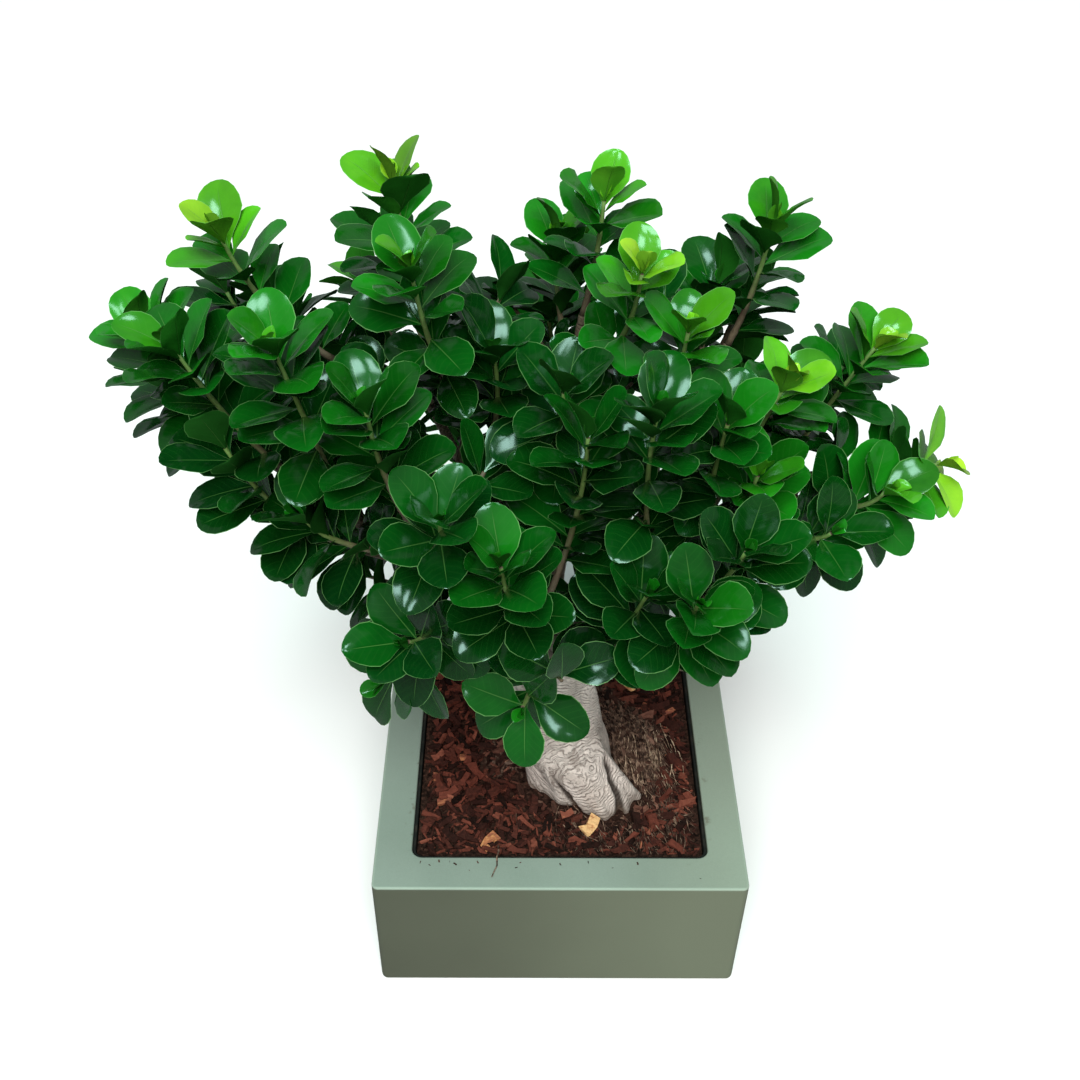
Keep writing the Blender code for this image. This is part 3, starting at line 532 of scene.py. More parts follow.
class Shade:
    """A socket of a material, so that sums and products of values read as plain maths."""

    def __init__(self, tree, socket=None):
        self.tree = tree
        self.socket = socket

    def node(self, kind, settings=None, values=None, output=0):
        """Adds any node: its settings first, then a number, colour or link for each socket."""
        made = self.tree.nodes.new("ShaderNode" + kind)
        for name, value in (settings or {}).items():
            if name == "stops":
                while len(made.color_ramp.elements) < len(value):
                    made.color_ramp.elements.new(1.0)
                for stop, (place, colour) in zip(made.color_ramp.elements, value):
                    stop.position = place
                    stop.color = (*colour, 1.0)
            else:
                setattr(made, name, value)
        for name, value in (values or {}).items():
            if isinstance(value, Shade):
                self.tree.links.new(value.socket, made.inputs[name])
            else:
                made.inputs[name].default_value = value
        return Shade(self.tree, made.outputs[output])

    def math(self, operation, *values):
        return self.node("Math", {"operation": operation}, dict(enumerate(values)))

    def __add__(self, other):
        return self.math("ADD", self, other)

    def __sub__(self, other):
        return self.math("SUBTRACT", self, other)

    def __rsub__(self, other):
        return self.math("SUBTRACT", other, self)

    def __mul__(self, other):
        return self.math("MULTIPLY", self, other)

    __radd__ = __add__
    __rmul__ = __mul__

    def ease(self, low, high):
        """0 below low, 1 above high, and a smooth step between."""
        values = {"Value": self, "From Min": low, "From Max": high}
        return self.node("MapRange", {"interpolation_type": "SMOOTHSTEP"}, values)

    def blend(self, first, second):
        """The first colour where this value is 0, and the second where it is 1."""
        first, second = ((*c, 1.0) if isinstance(c, tuple) else c for c in (first, second))
        return self.node("Mix", {"data_type": "RGBA"}, {0: self, 6: first, 7: second}, 2)

    def shaded(self, share):
        """This colour, with each of its channels multiplied by the share."""
        grey = self.node("CombineXYZ", None, {0: share, 1: share, 2: share})
        return self.node("VectorMath", {"operation": "MULTIPLY"}, {0: self, 1: grey})

    def grain(self, scale, detail=3.0, stretch=None):
        """Noise on these coordinates, stretched along an axis where that is asked for."""
        place = self
        if stretch:
            place = self.node("Mapping", None, {"Vector": self, "Scale": stretch})
        return self.node("TexNoise", None, {"Vector": place, "Scale": scale, "Detail": detail})

    def ramp(self, *stops):
        return self.node("ValToRGB", {"stops": stops}, {"Fac": self})


def start_finish(name):
    """A new material, and the place on the object, which its nodes are built from."""
    material = bpy.data.materials.new(name)
    material.use_nodes = True
    return material, Shade(material.node_tree).node("TexCoord", output="Object")


def set_finish(material, colour, roughness, height=None, depth=0.0005, coat=0.0, **constants):
    """Joins what was worked out to the material's shader."""
    shader = material.node_tree.nodes["Principled BSDF"]
    links = material.node_tree.links
    for name, value in (("Base Color", colour), ("Roughness", roughness), ("Coat Weight", coat)):
        if isinstance(value, Shade):
            links.new(value.socket, shader.inputs[name])
        else:
            shader.inputs[name].default_value = value
    if height:
        values = {"Strength": 1.0, "Distance": depth, "Height": height}
        links.new(height.node("Bump", None, values).socket, shader.inputs["Normal"])
    for name, value in constants.items():
        shader.inputs[name.replace("_", " ")].default_value = value
    return material


def part_of(place):
    """The x, y and z of a place, as three values."""
    return [place.node("SeparateXYZ", None, {0: place}, axis) for axis in range(3)]


def value_of(place, name):
    """A number that the mesh carries, read from its attribute."""
    return place.node("Attribute", {"attribute_name": name}, None, "Fac")


def sage_glaze():
    """The planter's matt glaze: painted shade on the walls, painted light to +x, bark dust by the
    mouth.
    """
    material, place = start_finish("sage_matt_glaze")
    x, y, z = part_of(place)
    cloud = place.grain(11.0, 4.0)
    speckle = place.grain(900.0, 2.0)
    colour = cloud.ease(0.3, 0.7).blend((0.186, 0.234, 0.196), (0.212, 0.262, 0.222))
    # Painted shade: the walls are darker and browner than the level rim; painted light pales them to
    # +x
    shaded_wall = (cloud * 0.3 + x.ease(-0.15, 0.18)).blend((0.054, 0.057, 0.037), (0.115, 0.127, 0.084))
    # Painted light: the rim grows paler and warmer towards +x
    colour = (x.ease(0.02, 0.14) * 0.6).blend(colour, (0.245, 0.285, 0.218))
    colour = z.ease(0.1235, 0.1258).blend(shaded_wall, colour)
    colour = colour.shaded(0.93 + speckle * 0.14)
    # The glaze is thin and pale along the planter's arrises, and a painted highlight brightens them
    side = x.math("MAXIMUM", x.math("ABSOLUTE", x), y.math("ABSOLUTE", y))
    arris_glaze_and_highlight = side.ease(0.1378, 0.1392) * z.ease(0.1238, 0.1252)
    colour = (arris_glaze_and_highlight * (0.30 + cloud * 0.4)).blend(colour, (0.30, 0.37, 0.30))
    # Bark dust lies on the rim by the mouth
    dust = (1.0 - side.ease(0.112, 0.122)) * z.ease(0.1250, 0.1258)
    dust = dust * place.grain(170.0, 5.0).ease(0.60, 0.76)
    colour = (dust * 0.6).blend(colour, (0.080, 0.052, 0.030))
    roughness = 0.46 + cloud * 0.12 + speckle * 0.06
    height = speckle * 0.5 + place.grain(60.0, 3.0)
    return set_finish(material, colour, roughness, height, 0.00012)


def black_plastic():
    material, place = start_finish("black_insert_plastic")
    dust = place.grain(90.0, 4.0)
    colour = dust.ease(0.45, 0.8).blend((0.010, 0.011, 0.010), (0.035, 0.028, 0.022))
    return set_finish(material, colour, 0.62 + dust * 0.25, place.grain(700.0), 0.0001,
                      Specular_IOR_Level=0.2)


def bark():
    """Pale wrinkled bark on the trunk, brown twig bark on the limbs, stained at the ground."""
    material, place = start_finish("wrinkled_pale_bark")
    x, y, z = part_of(place)
    cleft = value_of(place, "cleft")
    # Fine wrinkles in bent rings round the foot, like the lines of a fingertip
    around = place.node("VectorMath", {"operation": "DISTANCE"}, {0: place, 1: WHORL}, 1)
    bend = place.grain(28.0, 2.0) * 0.022 + place.grain(110.0, 4.0) * 0.0075
    lines = (around + x * 0.25 + bend) * (2 * math.pi / WRINKLE_STEP)
    wrinkle = lines.math("SINE", lines).ease(0.30, 0.98)
    hair = lines.math("SINE", lines * 2.3 + bend * 900.0).ease(0.45, 0.98)
    broken = place.grain(190.0, 4.0).ease(0.40, 0.56)
    wrinkle = wrinkle.math("MAXIMUM", wrinkle * (0.25 + broken * 0.75), hair * (1.0 - broken) * 0.8)
    fleck = place.grain(420.0, 4.0)
    patch = place.grain(26.0, 4.0).ease(0.35, 0.68)
    pale = patch.blend((0.515, 0.438, 0.392), (0.715, 0.628, 0.575)).shaded(0.74 + fleck * 0.48)
    pale = (wrinkle * 0.66).blend(pale, (0.130, 0.100, 0.082))
    crack = 1.0 - place.grain(34.0, 5.0, (1.0, 1.0, 0.5)).ease(0.36, 0.40)
    pale = (crack * 0.45).blend(pale, (0.150, 0.110, 0.088))
    # Painted shade darkens the bark in the trunk's cracks and folds
    pale = (cleft.ease(0.15, 0.85) * 0.95).blend(pale, (0.030, 0.020, 0.015))
    twig = place.grain(150.0, 4.0).blend((0.050, 0.034, 0.022), (0.160, 0.120, 0.082))
    colour = z.ease(0.240, 0.300).blend(pale, twig)
    # Damp soil has stained the foot
    stain = (1.0 - z.ease(0.117, 0.127)) * (0.35 + place.grain(80.0, 3.0) * 0.7)
    colour = stain.blend(colour, (0.085, 0.052, 0.034))
    height = 1.0 - wrinkle * 0.9 - crack * 0.5 + fleck * 0.35
    return set_finish(material, colour, 0.78, height, 0.0008)


def leaf_green():
    """A glossy leaf: fine pale midrib and margin, puckered face, lime where it is young."""
    material, place = start_finish("glossy_ficus_leaf")
    flat = place.node("TexCoord", output="UV")
    along, across = part_of(flat)[:2]
    aside = across.math("ABSOLUTE", across - 0.5)
    age, tone, under, edge = (
        value_of(place, name) for name in ("youth", "tone", "underside", "inside"))
    blotch = place.grain(70.0, 3.0)
    green = (age + (blotch - 0.5) * 0.10).ramp(
        (0.00, (0.0010, 0.022, 0.0030)), (0.22, (0.0018, 0.062, 0.0034)),
        (0.50, (0.0070, 0.145, 0.0045)), (0.75, (0.0720, 0.310, 0.0080)),
        (1.00, (0.2700, 0.470, 0.0200)))
    green = green.shaded(0.46 + tone * 0.76 + blotch * 0.26)
    vein = (along - aside * 0.9) * 9.0
    vein = vein.math("ABSOLUTE", vein.math("FRACT", vein) - 0.5).ease(0.36, 0.50)
    vein = vein * aside.ease(0.01, 0.05) * edge.ease(0.10, 0.50)
    green = (vein * 0.03).blend(green, (0.08, 0.28, 0.05))
    midrib = 1.0 - (aside + along * 0.006).ease(0.007, 0.013)
    midrib = midrib * (1.0 - along.ease(0.70, 0.95))
    green = (midrib * 0.30).blend(green, (0.12, 0.32, 0.07))
    margin = 1.0 - edge.ease(0.03, 0.09)
    green = (margin * 0.45).blend(green, (0.20, 0.42, 0.14))
    dull = (0.020, 0.105, 0.015, 1.0)
    dull = place.node("Mix", {"data_type": "RGBA"}, {0: 0.5, 6: green, 7: dull}, 2)
    colour = under.blend(green, dull)
    roughness = 0.40 + blotch * 0.15 + under * 0.30
    gloss = (1.0 - under) * (0.80 + blotch * 0.35)
    pucker = place.grain(60.0, 1.0)
    height = pucker * 1.2 + vein * 0.04 - midrib * 0.5
    return set_finish(material, colour, roughness, height, 0.0007, coat=gloss, Coat_Roughness=0.15,
                      Specular_IOR_Level=0.02)


def stem_green():
    material, place = start_finish("young_stem")
    age = value_of(place, "youth")
    speck = place.grain(300.0, 4.0)
    woody = speck.blend((0.050, 0.034, 0.021), (0.150, 0.112, 0.072))
    tender = speck.blend((0.060, 0.130, 0.030), (0.150, 0.230, 0.060))
    colour = age.ease(0.35, 0.85).blend(woody, tender)
    return set_finish(material, colour, 0.62, speck, 0.0004)


def soil_brown():
    material, place = start_finish("potting_mix")
    ball = value_of(place, "root_ball")
    crumb = place.grain(340.0, 5.0)
    dark = crumb.ramp((0.30, (0.007, 0.004, 0.003)), (0.55, (0.030, 0.014, 0.010)),
                      (0.80, (0.080, 0.038, 0.026)))
    fibre = place.grain(380.0, 5.0, (1.0, 0.30, 1.0))
    peat = fibre.ramp((0.36, (0.010, 0.006, 0.005)), (0.50, (0.058, 0.033, 0.024)),
                      (0.64, (0.210, 0.140, 0.105)))
    colour = ball.blend(dark, peat)
    return set_finish(material, colour, 0.95, crumb + fibre, 0.0024, Specular_IOR_Level=0.15)


def chip_bark():
    """Chopped pine bark: each chip has a shade of its own, from near black to orange."""
    material, place = start_finish("bark_chip")
    tone = value_of(place, "tone")
    crumb = value_of(place, "crumb")
    fibre = place.grain(300.0, 4.0)
    shade = tone + (fibre - 0.5) * 0.35
    red = shade.ramp(
        (0.00, (0.009, 0.004, 0.003)), (0.30, (0.037, 0.012, 0.009)),
        (0.60, (0.116, 0.031, 0.020)), (0.84, (0.215, 0.068, 0.043)),
        (0.93, (0.400, 0.160, 0.066)), (1.00, (0.680, 0.410, 0.190)))
    peat = shade.ramp(
        (0.10, (0.014, 0.007, 0.005)), (0.45, (0.078, 0.040, 0.029)),
        (0.90, (0.300, 0.200, 0.145)))
    colour = crumb.blend(red, peat)
    return set_finish(material, colour, 0.75 + fibre * 0.22, fibre, 0.0016, Specular_IOR_Level=0.18)


def root_fibre(name, dark, middle, pale):
    material, place = start_finish(name)
    colour = place.grain(230.0, 3.0).ramp((0.36, dark), (0.50, middle), (0.64, pale))
    return set_finish(material, colour, 0.85, place.grain(500.0), 0.0003)


def floor_white():
    return set_finish(start_finish("studio_floor")[0], FLOOR_COLOUR, 0.75)


def deselect_all():
    """Leaves edit mode and lets go of everything."""
    if bpy.context.object and bpy.context.object.mode != "OBJECT":
        bpy.ops.object.mode_set(mode="OBJECT")
    bpy.ops.object.select_all(action="DESELECT")


def take(*pieces):
    """Selects these objects alone; the first is the active one."""
    deselect_all()
    for piece in pieces:
        piece.select_set(True)
    bpy.context.view_layer.objects.active = pieces[0]


def named(name, material):
    """Settles the primitive just added: its name, its material, and its size and place."""
    piece = bpy.context.object
    piece.name = name
    piece.data.name = name
    piece.data.materials.clear()
    piece.data.materials.append(material)
    bpy.ops.object.transform_apply(location=True, rotation=True, scale=True)
    return piece


def apply_modifier(piece, kind, **settings):
    modifier = piece.modifiers.new(kind.lower(), kind)
    for name, value in settings.items():
        setattr(modifier, name, value)
    take(piece)
    bpy.ops.object.modifier_apply(modifier=modifier.name)


def join(name, pieces):
    take(*pieces)
    bpy.ops.object.join()
    pieces[0].name = name
    pieces[0].data.name = name
    return pieces[0]


def select_edges(piece, wanted):
    """In edit mode, selects the edges whose two ends pass the test."""
    take(piece)
    bpy.ops.object.mode_set(mode="EDIT")
    bpy.ops.mesh.select_mode(type="EDGE")
    bpy.ops.mesh.select_all(action="DESELECT")
    mesh = bmesh.from_edit_mesh(piece.data)
    for edge in mesh.edges:
        first, second = (vert.co for vert in edge.verts)
        edge.select_set(wanted(first, second))
    bmesh.update_edit_mesh(piece.data)


def merge_doubles(piece):
    take(piece)
    bpy.ops.object.mode_set(mode="EDIT")
    bpy.ops.mesh.select_all(action="SELECT")
    bpy.ops.mesh.remove_doubles(threshold=TOUCH)
    bpy.ops.object.mode_set(mode="OBJECT")


def upright(first, second):
    """Whether an edge runs up and down."""
    return abs(first.z - second.z) > TOUCH


def bevel_edges(piece, wanted, radius, segments):
    select_edges(piece, wanted)
    bpy.ops.mesh.bevel(offset=radius, segments=segments, affect="EDGES")
    bpy.ops.object.mode_set(mode="OBJECT")


def set_value(piece, name, values, domain="POINT"):
    """Writes one number for each point or face of a mesh, for its material to read."""
    attribute = piece.data.attributes.get(name) or piece.data.attributes.new(name, "FLOAT", domain)
    filled = np.broadcast_to(np.asarray(values, np.float32), (len(attribute.data),))
    attribute.data.foreach_set("value", np.ascontiguousarray(filled))


def mesh_points(piece):
    flat = np.empty(len(piece.data.vertices) * 3, np.float32)
    piece.data.vertices.foreach_get("co", flat)
    return flat.reshape(-1, 3).astype(float)


def set_points(piece, points):
    piece.data.vertices.foreach_set("co", np.ascontiguousarray(points, np.float32).ravel())
    piece.data.update()


def belongs(piece, slot, *nodes):
    """The piece is part of the plant: it rides on the one body and stands for these nodes."""
    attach(piece, "root")
    if nodes:
        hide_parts(*nodes)
    return piece


def new_object(name, data):
    made = bpy.data.objects.new(name, data)
    SCENE.collection.objects.link(made)
    return made


def fresh_copy(pattern):
    """A copy of a modelled piece, with a mesh of its own."""
    return new_object(pattern.name, pattern.data.copy())


def make_camera():
    """The photo's own viewpoint: down at the plant from in front, a little turned."""
    data = bpy.data.cameras.new("camera")
    data.lens = CAMERA_LENS
    camera = new_object("camera", data)
    turn = Matrix.Rotation(math.radians(CAMERA_TURN), 4, "Z")
    tilt = Matrix.Rotation(math.radians(CAMERA_TILT), 4, "X")
    roll = Matrix.Rotation(math.radians(CAMERA_ROLL), 4, "Z")
    camera.matrix_world = Matrix.Translation(CAMERA_PLACE) @ turn @ tilt @ roll
    SCENE.camera = camera


def block(name, width, low, high, corner, segments, material):
    """A square block standing on its end, with its upright edges rounded."""
    deselect_all()
    bpy.ops.mesh.primitive_cube_add(size=1.0, location=(0, 0, (low + high) / 2),
                                    scale=(width, width, high - low))
    piece = named(name, material)
    bevel_edges(piece, upright, corner, segments)
    return piece


def cut(piece, tool, operation):
    """Takes the tool out of the piece, or joins it on, and puts the tool away."""
    apply_modifier(piece, "BOOLEAN", operation=operation, object=tool)
    bpy.data.objects.remove(tool, do_unlink=True)


def make_pot(glaze):
    """The planter: a rounded block hollowed out, with a lip that turns down round its mouth."""
    low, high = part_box("pot")
    width = high.x - low.x
    mouth = width - 2 * RIM_WIDTH
    deselect_all()
    bpy.ops.mesh.primitive_cube_add(size=1.0, location=(0, 0, high.z / 2),
                                    scale=(width, width, high.z))
    pot = named("glazed_planter", glaze)
    bevel_edges(pot, lambda a, b: min(a.z, b.z) < TOUCH, POT_CORNER, 6)
    bevel_edges(pot, lambda a, b: min(a.z, b.z) > high.z - TOUCH, RIM_EDGE, 3)
    inner = width - 2 * POT_WALL
    hollow = block("hollow", inner, POT_WALL, high.z - POT_WALL, MOUTH_CORNER, 4, glaze)
    cut(pot, hollow, "DIFFERENCE")
    lip = block("lip", mouth + 2 * POT_WALL, high.z - LIP_DEPTH, high.z - RIM_EDGE,
                MOUTH_CORNER + POT_WALL, 6, glaze)
    cut(pot, lip, "UNION")
    opening = block("mouth", mouth, high.z / 2, high.z * 2, MOUTH_CORNER, 6, glaze)
    cut(pot, opening, "DIFFERENCE")

    def at_mouth(first, second):
        level = min(first.z, second.z) > high.z - TOUCH
        reach = max(abs(first.x), abs(first.y), abs(second.x), abs(second.y))
        return level and reach < mouth / 2 + TOUCH

    bevel_edges(pot, at_mouth, RIM_EDGE, 3)
    pot.data.shade_smooth()
    pot.data.set_sharp_from_angle(angle=math.radians(40))
    apply_modifier(pot, "WEIGHTED_NORMAL", keep_sharp=True)
    belongs(pot, "pot", "pot")


def smooth_step(value):
    """0 up to 0, 1 from 1 on, and a smooth step between."""
    value = min(max(value, 0.0), 1.0)
    return value * value * (3 - 2 * value)


def ring_at(height):
    """The middle and the radius of the trunk at a height, between its rings."""
    for low, high in zip(TRUNK_RINGS, TRUNK_RINGS[1:]):
        if height <= high[0]:
            break
    share = (height - low[0]) / (high[0] - low[0])
    return [a + (b - a) * share for a, b in zip(low[1:], high[1:])]


def degrees_apart(turn, other):
    """The turn from the other direction to this one, from -180 to 180 degrees."""
    return (turn - other + 180.0) % 360.0 - 180.0


def trunk_radius(angle, height):
    """The trunk's reach in a direction: its ring, its root swellings and its slow flutes."""
    radius = ring_at(height)[2]
    foot = TRUNK_RINGS[0][0]
    if height > LOBE_GROUND:
        flare = max(0.0, (LOBE_TOP - height) / (LOBE_TOP - LOBE_GROUND)) ** LOBE_FALL
    else:
        flare = smooth_step((height - foot) / (LOBE_GROUND - foot))
    for direction, breadth, reach in ROOT_LOBES:
        away = degrees_apart(math.degrees(angle), direction)
        radius += reach * flare * math.exp(-abs(away / breadth) ** LOBE_CREST)
    return radius * (1.0 + FLUTE_DEPTH * math.sin(FLUTES * angle + FLUTE_TWIST * height))


def trunk_gap(x, y):
    """How far a place on the soil is from the trunk."""
    middle_x, middle_y = ring_at(SOIL_LEVEL)[:2]
    away_x, away_y = x - middle_x, y - middle_y
    return math.hypot(away_x, away_y) - trunk_radius(math.atan2(away_y, away_x), SOIL_LEVEL)


def mound_rise(x, y):
    """How far the root ball stands over the level soil."""
    half = SOIL_BOX[1].x
    rise = 0.0
    for middle_x, middle_y, spread, height in MOUNDS:
        rise += height * math.exp(-((x - middle_x) ** 2 + (y - middle_y) ** 2) / spread ** 2)
    return rise * smooth_step((half - max(abs(x), abs(y))) / MOUND_FADE)


def soil_rise(x, y):
    """The root ball, and the bark that is banked up along the insert's walls."""
    edge = SOIL_BOX[1].x - max(abs(x), abs(y))
    return mound_rise(x, y) + BANK_HEIGHT * smooth_step(1.0 - edge / BANK_WIDTH)


def curve_point(guides, share):
    """A point on the smooth curve that the guide points pull, by repeated halving."""
    points = [Vector(p) for p in guides]
    while len(points) > 1:
        points = [a.lerp(b, share) for a, b in zip(points, points[1:])]
    return points[0]


def curve_direction(guides, share):
    before = curve_point(guides, max(share - CURVE_STEP, 0.0))
    after = curve_point(guides, min(share + CURVE_STEP, 1.0))
    return (after - before).normalized()


def shoot_guides(shoot):
    """A shoot leaves its limb at a wide angle, then turns up to the light."""
    limb = LIMBS[shoot.limb][0]
    start = curve_point(limb, shoot.start)
    along = curve_direction(limb, shoot.start)
    tip = Vector(shoot.tip)
    reach = tip - start
    middle = start + Vector((reach.x * SHOOT_OUT, reach.y * SHOOT_OUT, reach.z * SHOOT_UP))
    if shoot.start < 1.0:
        aside = (reach - along * reach.dot(along)).normalized()
        middle += aside * SHOOT_BOW * reach.length
    return start, middle, tip


def stem_points(guides, first, last, steps):
    return [curve_point(guides, first + (last - first) * i / steps) for i in range(steps + 1)]


def shoot_points(shoot):
    """The jointed line of a shoot's stem, which its leaves are placed along."""
    guides = shoot_guides(shoot)
    if shoot.start < 1.0:
        first = STUB_REACH / (guides[2] - guides[0]).length
        seat = curve_point(guides, first)
        way = (seat - guides[0]).normalized()
    else:
        first = 0.0
        limb = stem_points(LIMBS[shoot.limb][0], 0.0, 1.0, LIMB_STEPS)
        seat = limb[-1]
        way = (seat - limb[-2]).normalized()
    collar = [seat + way * CLEAR, seat + way * SHOOT_COLLAR]
    return collar + stem_points(guides, first, 1.0, SHOOT_STEPS)[1:]


def threads(name, lines, roundness, material):
    """Stems or hairs in one mesh, from each one's points and its radius at each of them."""
    curve = bpy.data.curves.new(name, "CURVE")
    curve.dimensions = "3D"
    curve.bevel_depth = 1.0
    curve.bevel_resolution = roundness
    curve.use_fill_caps = True
    curve.materials.append(material)
    for points, radii in lines:
        spline = curve.splines.new("POLY")
        spline.points.add(len(points) - 1)
        for knot, place, radius in zip(spline.points, points, radii):
            knot.co = (*place, 1.0)
            knot.radius = radius
    piece = new_object(name, curve)
    take(piece)
    bpy.ops.object.convert(target="MESH")
    return piece


def tube(name, points, radii, roundness, material):
    """One stem through the points, closed at both ends."""
    piece = threads(name, [(points, radii)], roundness, material)
    merge_doubles(piece)
    return piece


def tapering(line, radius):
    return [radius * (1 - FIBRE_TAPER * number / len(line)) for number in range(len(line))]


def knotted(first, last, count, swell, every):
    """Radii that taper from the first to the last, with a knot every few points."""
    radii = []
    for number in range(count):
        radius = first + (last - first) * number / (count - 1)
        radii.append(radius * (1.0 + (swell if number % every == 0 else 0.0)))
    return radii


def make_trunk(material):
    """The swollen trunk, its limbs and the collars of the shoots, grown into one skin."""
    low, high = TRUNK_RINGS[0][0], TRUNK_RINGS[-1][0]
    deselect_all()
    bpy.ops.mesh.primitive_cylinder_add(vertices=TRUNK_SIDES, radius=1.0, depth=high - low,
                                        location=(0, 0, (low + high) / 2))
    trunk = named("trunk_and_limbs", material)
    select_edges(trunk, upright)
    bpy.ops.mesh.subdivide(number_cuts=TRUNK_CUTS)
    bpy.ops.object.mode_set(mode="OBJECT")
    for vert in trunk.data.vertices:
        angle = math.atan2(vert.co.y, vert.co.x)
        x, y = ring_at(vert.co.z)[:2]
        reach = trunk_radius(angle, vert.co.z)
        vert.co.x = x + reach * math.cos(angle)
        vert.co.y = y + reach * math.sin(angle)
    pieces = [trunk]
    for name, (guides, root_radius, end_radius) in LIMBS.items():
        points = stem_points(guides, 0.0, 1.0, SKIN_STEPS)
        radii = knotted(root_radius, end_radius, len(points), *LIMB_KNOTS)
        pieces.append(tube(name, points, radii, 4, material))
    for shoot in SHOOTS:
        if shoot.start < 1.0:
            guides = shoot_guides(shoot)
            share = STUB_REACH / (guides[2] - guides[0]).length
            points = stem_points(guides, 0.0, share, 2)
            pieces.append(tube(shoot.name, points, STUB_RADII, 3, material))
    trunk = join("trunk_and_limbs", pieces)
    apply_modifier(trunk, "REMESH", mode="VOXEL", voxel_size=BARK_VOXEL)
    apply_modifier(trunk, "SMOOTH", factor=0.5, iterations=3)
    trunk.data.shade_smooth()
    roughen_bark(trunk)
    belongs(trunk, "bark", "trunk")


def open_cracks(spot):
    """How far the cracks and their lips move the bark at a spot, and the painted shade there."""
    ring_x, ring_y = ring_at(spot.z)[:2]
    turn = math.degrees(math.atan2(spot.y - ring_y, spot.x - ring_x))
    turn += CRACK_WANDER * noise.noise(Vector((0, 0, spot.z * CRACK_GRAIN)))
    lift = 0.0
    painted_shade = 0.0
    for heights, turns, width, depth in CRACKS:
        opened = smooth_step((heights[-1] - spot.z) / (heights[-1] - heights[1]))
        away = degrees_apart(turn, np.interp(spot.z, heights, turns))
        width *= CRACK_END + opened
        lift -= depth * opened * math.exp(-(away / width) ** 2)
        lift += LIP_RISE * opened * math.exp(-((away - LIP_TURN) / (2 * width)) ** 2)
        # Painted shade in the crack, a little wider than the crack itself
        painted_shade = max(painted_shade, opened * math.exp(-(away / (CRACK_SHADE_WIDTH * width)) ** 2))
    return lift, painted_shade


def roughen_bark(trunk):
    """Moves the skin in and out: folds, cracks and ripples on the trunk, pits everywhere."""
    points = mesh_points(trunk)
    normals = np.empty(points.size, np.float32)
    trunk.data.vertex_normals.foreach_get("vector", normals)
    normals = normals.reshape(-1, 3)
    moves = np.zeros(len(points))
    cleft_shades = np.zeros(len(points))
    for number, place in enumerate(points):
        spot = Vector(place)
        moves[number] = PIT_DEPTH * noise.noise(spot * PIT_GRAIN)
        trunk_share = 1.0 - smooth_step((spot.z - CROWN_LEVEL) / CROWN_BLEND)
        if trunk_share == 0.0:
            continue
        lift, painted_shade = open_cracks(spot)
        fold = 1.0 - abs(noise.noise(spot * FOLD_GRAIN)) * FOLD_SHARPNESS
        fold = max(fold, 0.0) ** 3
        bulge = noise.noise(spot * BULGE_GRAIN + BULGE_START)
        bent = (spot - WHORL).length + RIPPLE_BEND * noise.noise(spot * RIPPLE_GRAIN)
        ripple = math.sin(bent * 2 * math.pi / RIPPLE_STEP)
        relief = BULGE_DEPTH * bulge - FOLD_DEPTH * fold + RIPPLE_DEPTH * ripple
        moves[number] += lift + trunk_share * relief
        # Painted shade in the cracks and folds, which the bark's colour reads
        cleft_shades[number] = trunk_share * max(painted_shade * CRACK_SHADE, FOLD_SHADE * fold ** 2)
    set_points(trunk, points + normals * moves[:, None])
    set_value(trunk, "cleft", np.clip(cleft_shades, 0, 1))


def half_width(share):
    """An obovate outline: wedge-shaped to its widest place, then a round end."""
    if share < BLADE_WIDEST:
        rise = (1 - math.cos(math.pi * share / BLADE_WIDEST)) / 2
        return PETIOLE_WIDTH + (1 - PETIOLE_WIDTH) * rise
    return max(0.0, 1 - ((share - BLADE_WIDEST) / (1 - BLADE_WIDEST)) ** 2) ** BLADE_POINT


def make_blade(material):
    """One flat leaf, 1 long: x from its root to its tip, y across. Its copies are bent."""
    deselect_all()
    bpy.ops.mesh.primitive_grid_add(x_subdivisions=len(BLADE_ROWS) - 1, y_subdivisions=BLADE_COLUMNS,
                                    size=2.0)
    leaf = named("leaf", material)
    bpy.ops.object.mode_set(mode="EDIT")
    bpy.ops.mesh.select_all(action="SELECT")
    bpy.ops.mesh.duplicate()
    bpy.ops.mesh.flip_normals()
    bpy.ops.transform.translate(value=(0, 0, -1.0))
    bpy.ops.object.mode_set(mode="OBJECT")
    inside = []
    for vert in leaf.data.vertices:
        row = round((vert.co.x + 1) / 2 * (len(BLADE_ROWS) - 1))
        across = vert.co.y
        share = BLADE_ROWS[row]
        ends = row in (0, len(BLADE_ROWS) - 1)
        crown = 0.0 if ends else (1 - across ** 2) * BLADE_THICKNESS / 2
        top = vert.co.z > -0.5
        vert.co = (share, across * half_width(share) * BLADE_SHAPE, crown if top else -crown)
        inside.append(0.0 if ends or abs(across) > 0.99 else 1.0)
    set_value(leaf, "inside", inside)
    under = [1.0 if face.normal.z < 0 else 0.0 for face in leaf.data.polygons]
    set_value(leaf, "underside", under, "FACE")
    for name in ("youth", "tone"):
        set_value(leaf, name, 0.0, "FACE")
    layer = leaf.data.uv_layers.active.data
    for loop in leaf.data.loops:
        place = leaf.data.vertices[loop.vertex_index].co
        layer[loop.index].uv = (place.x, place.y + 0.5)
    merge_doubles(leaf)
    leaf.data.shade_smooth()
    leaf.data.set_sharp_from_angle(angle=math.radians(BLADE_ARRIS))
    return leaf


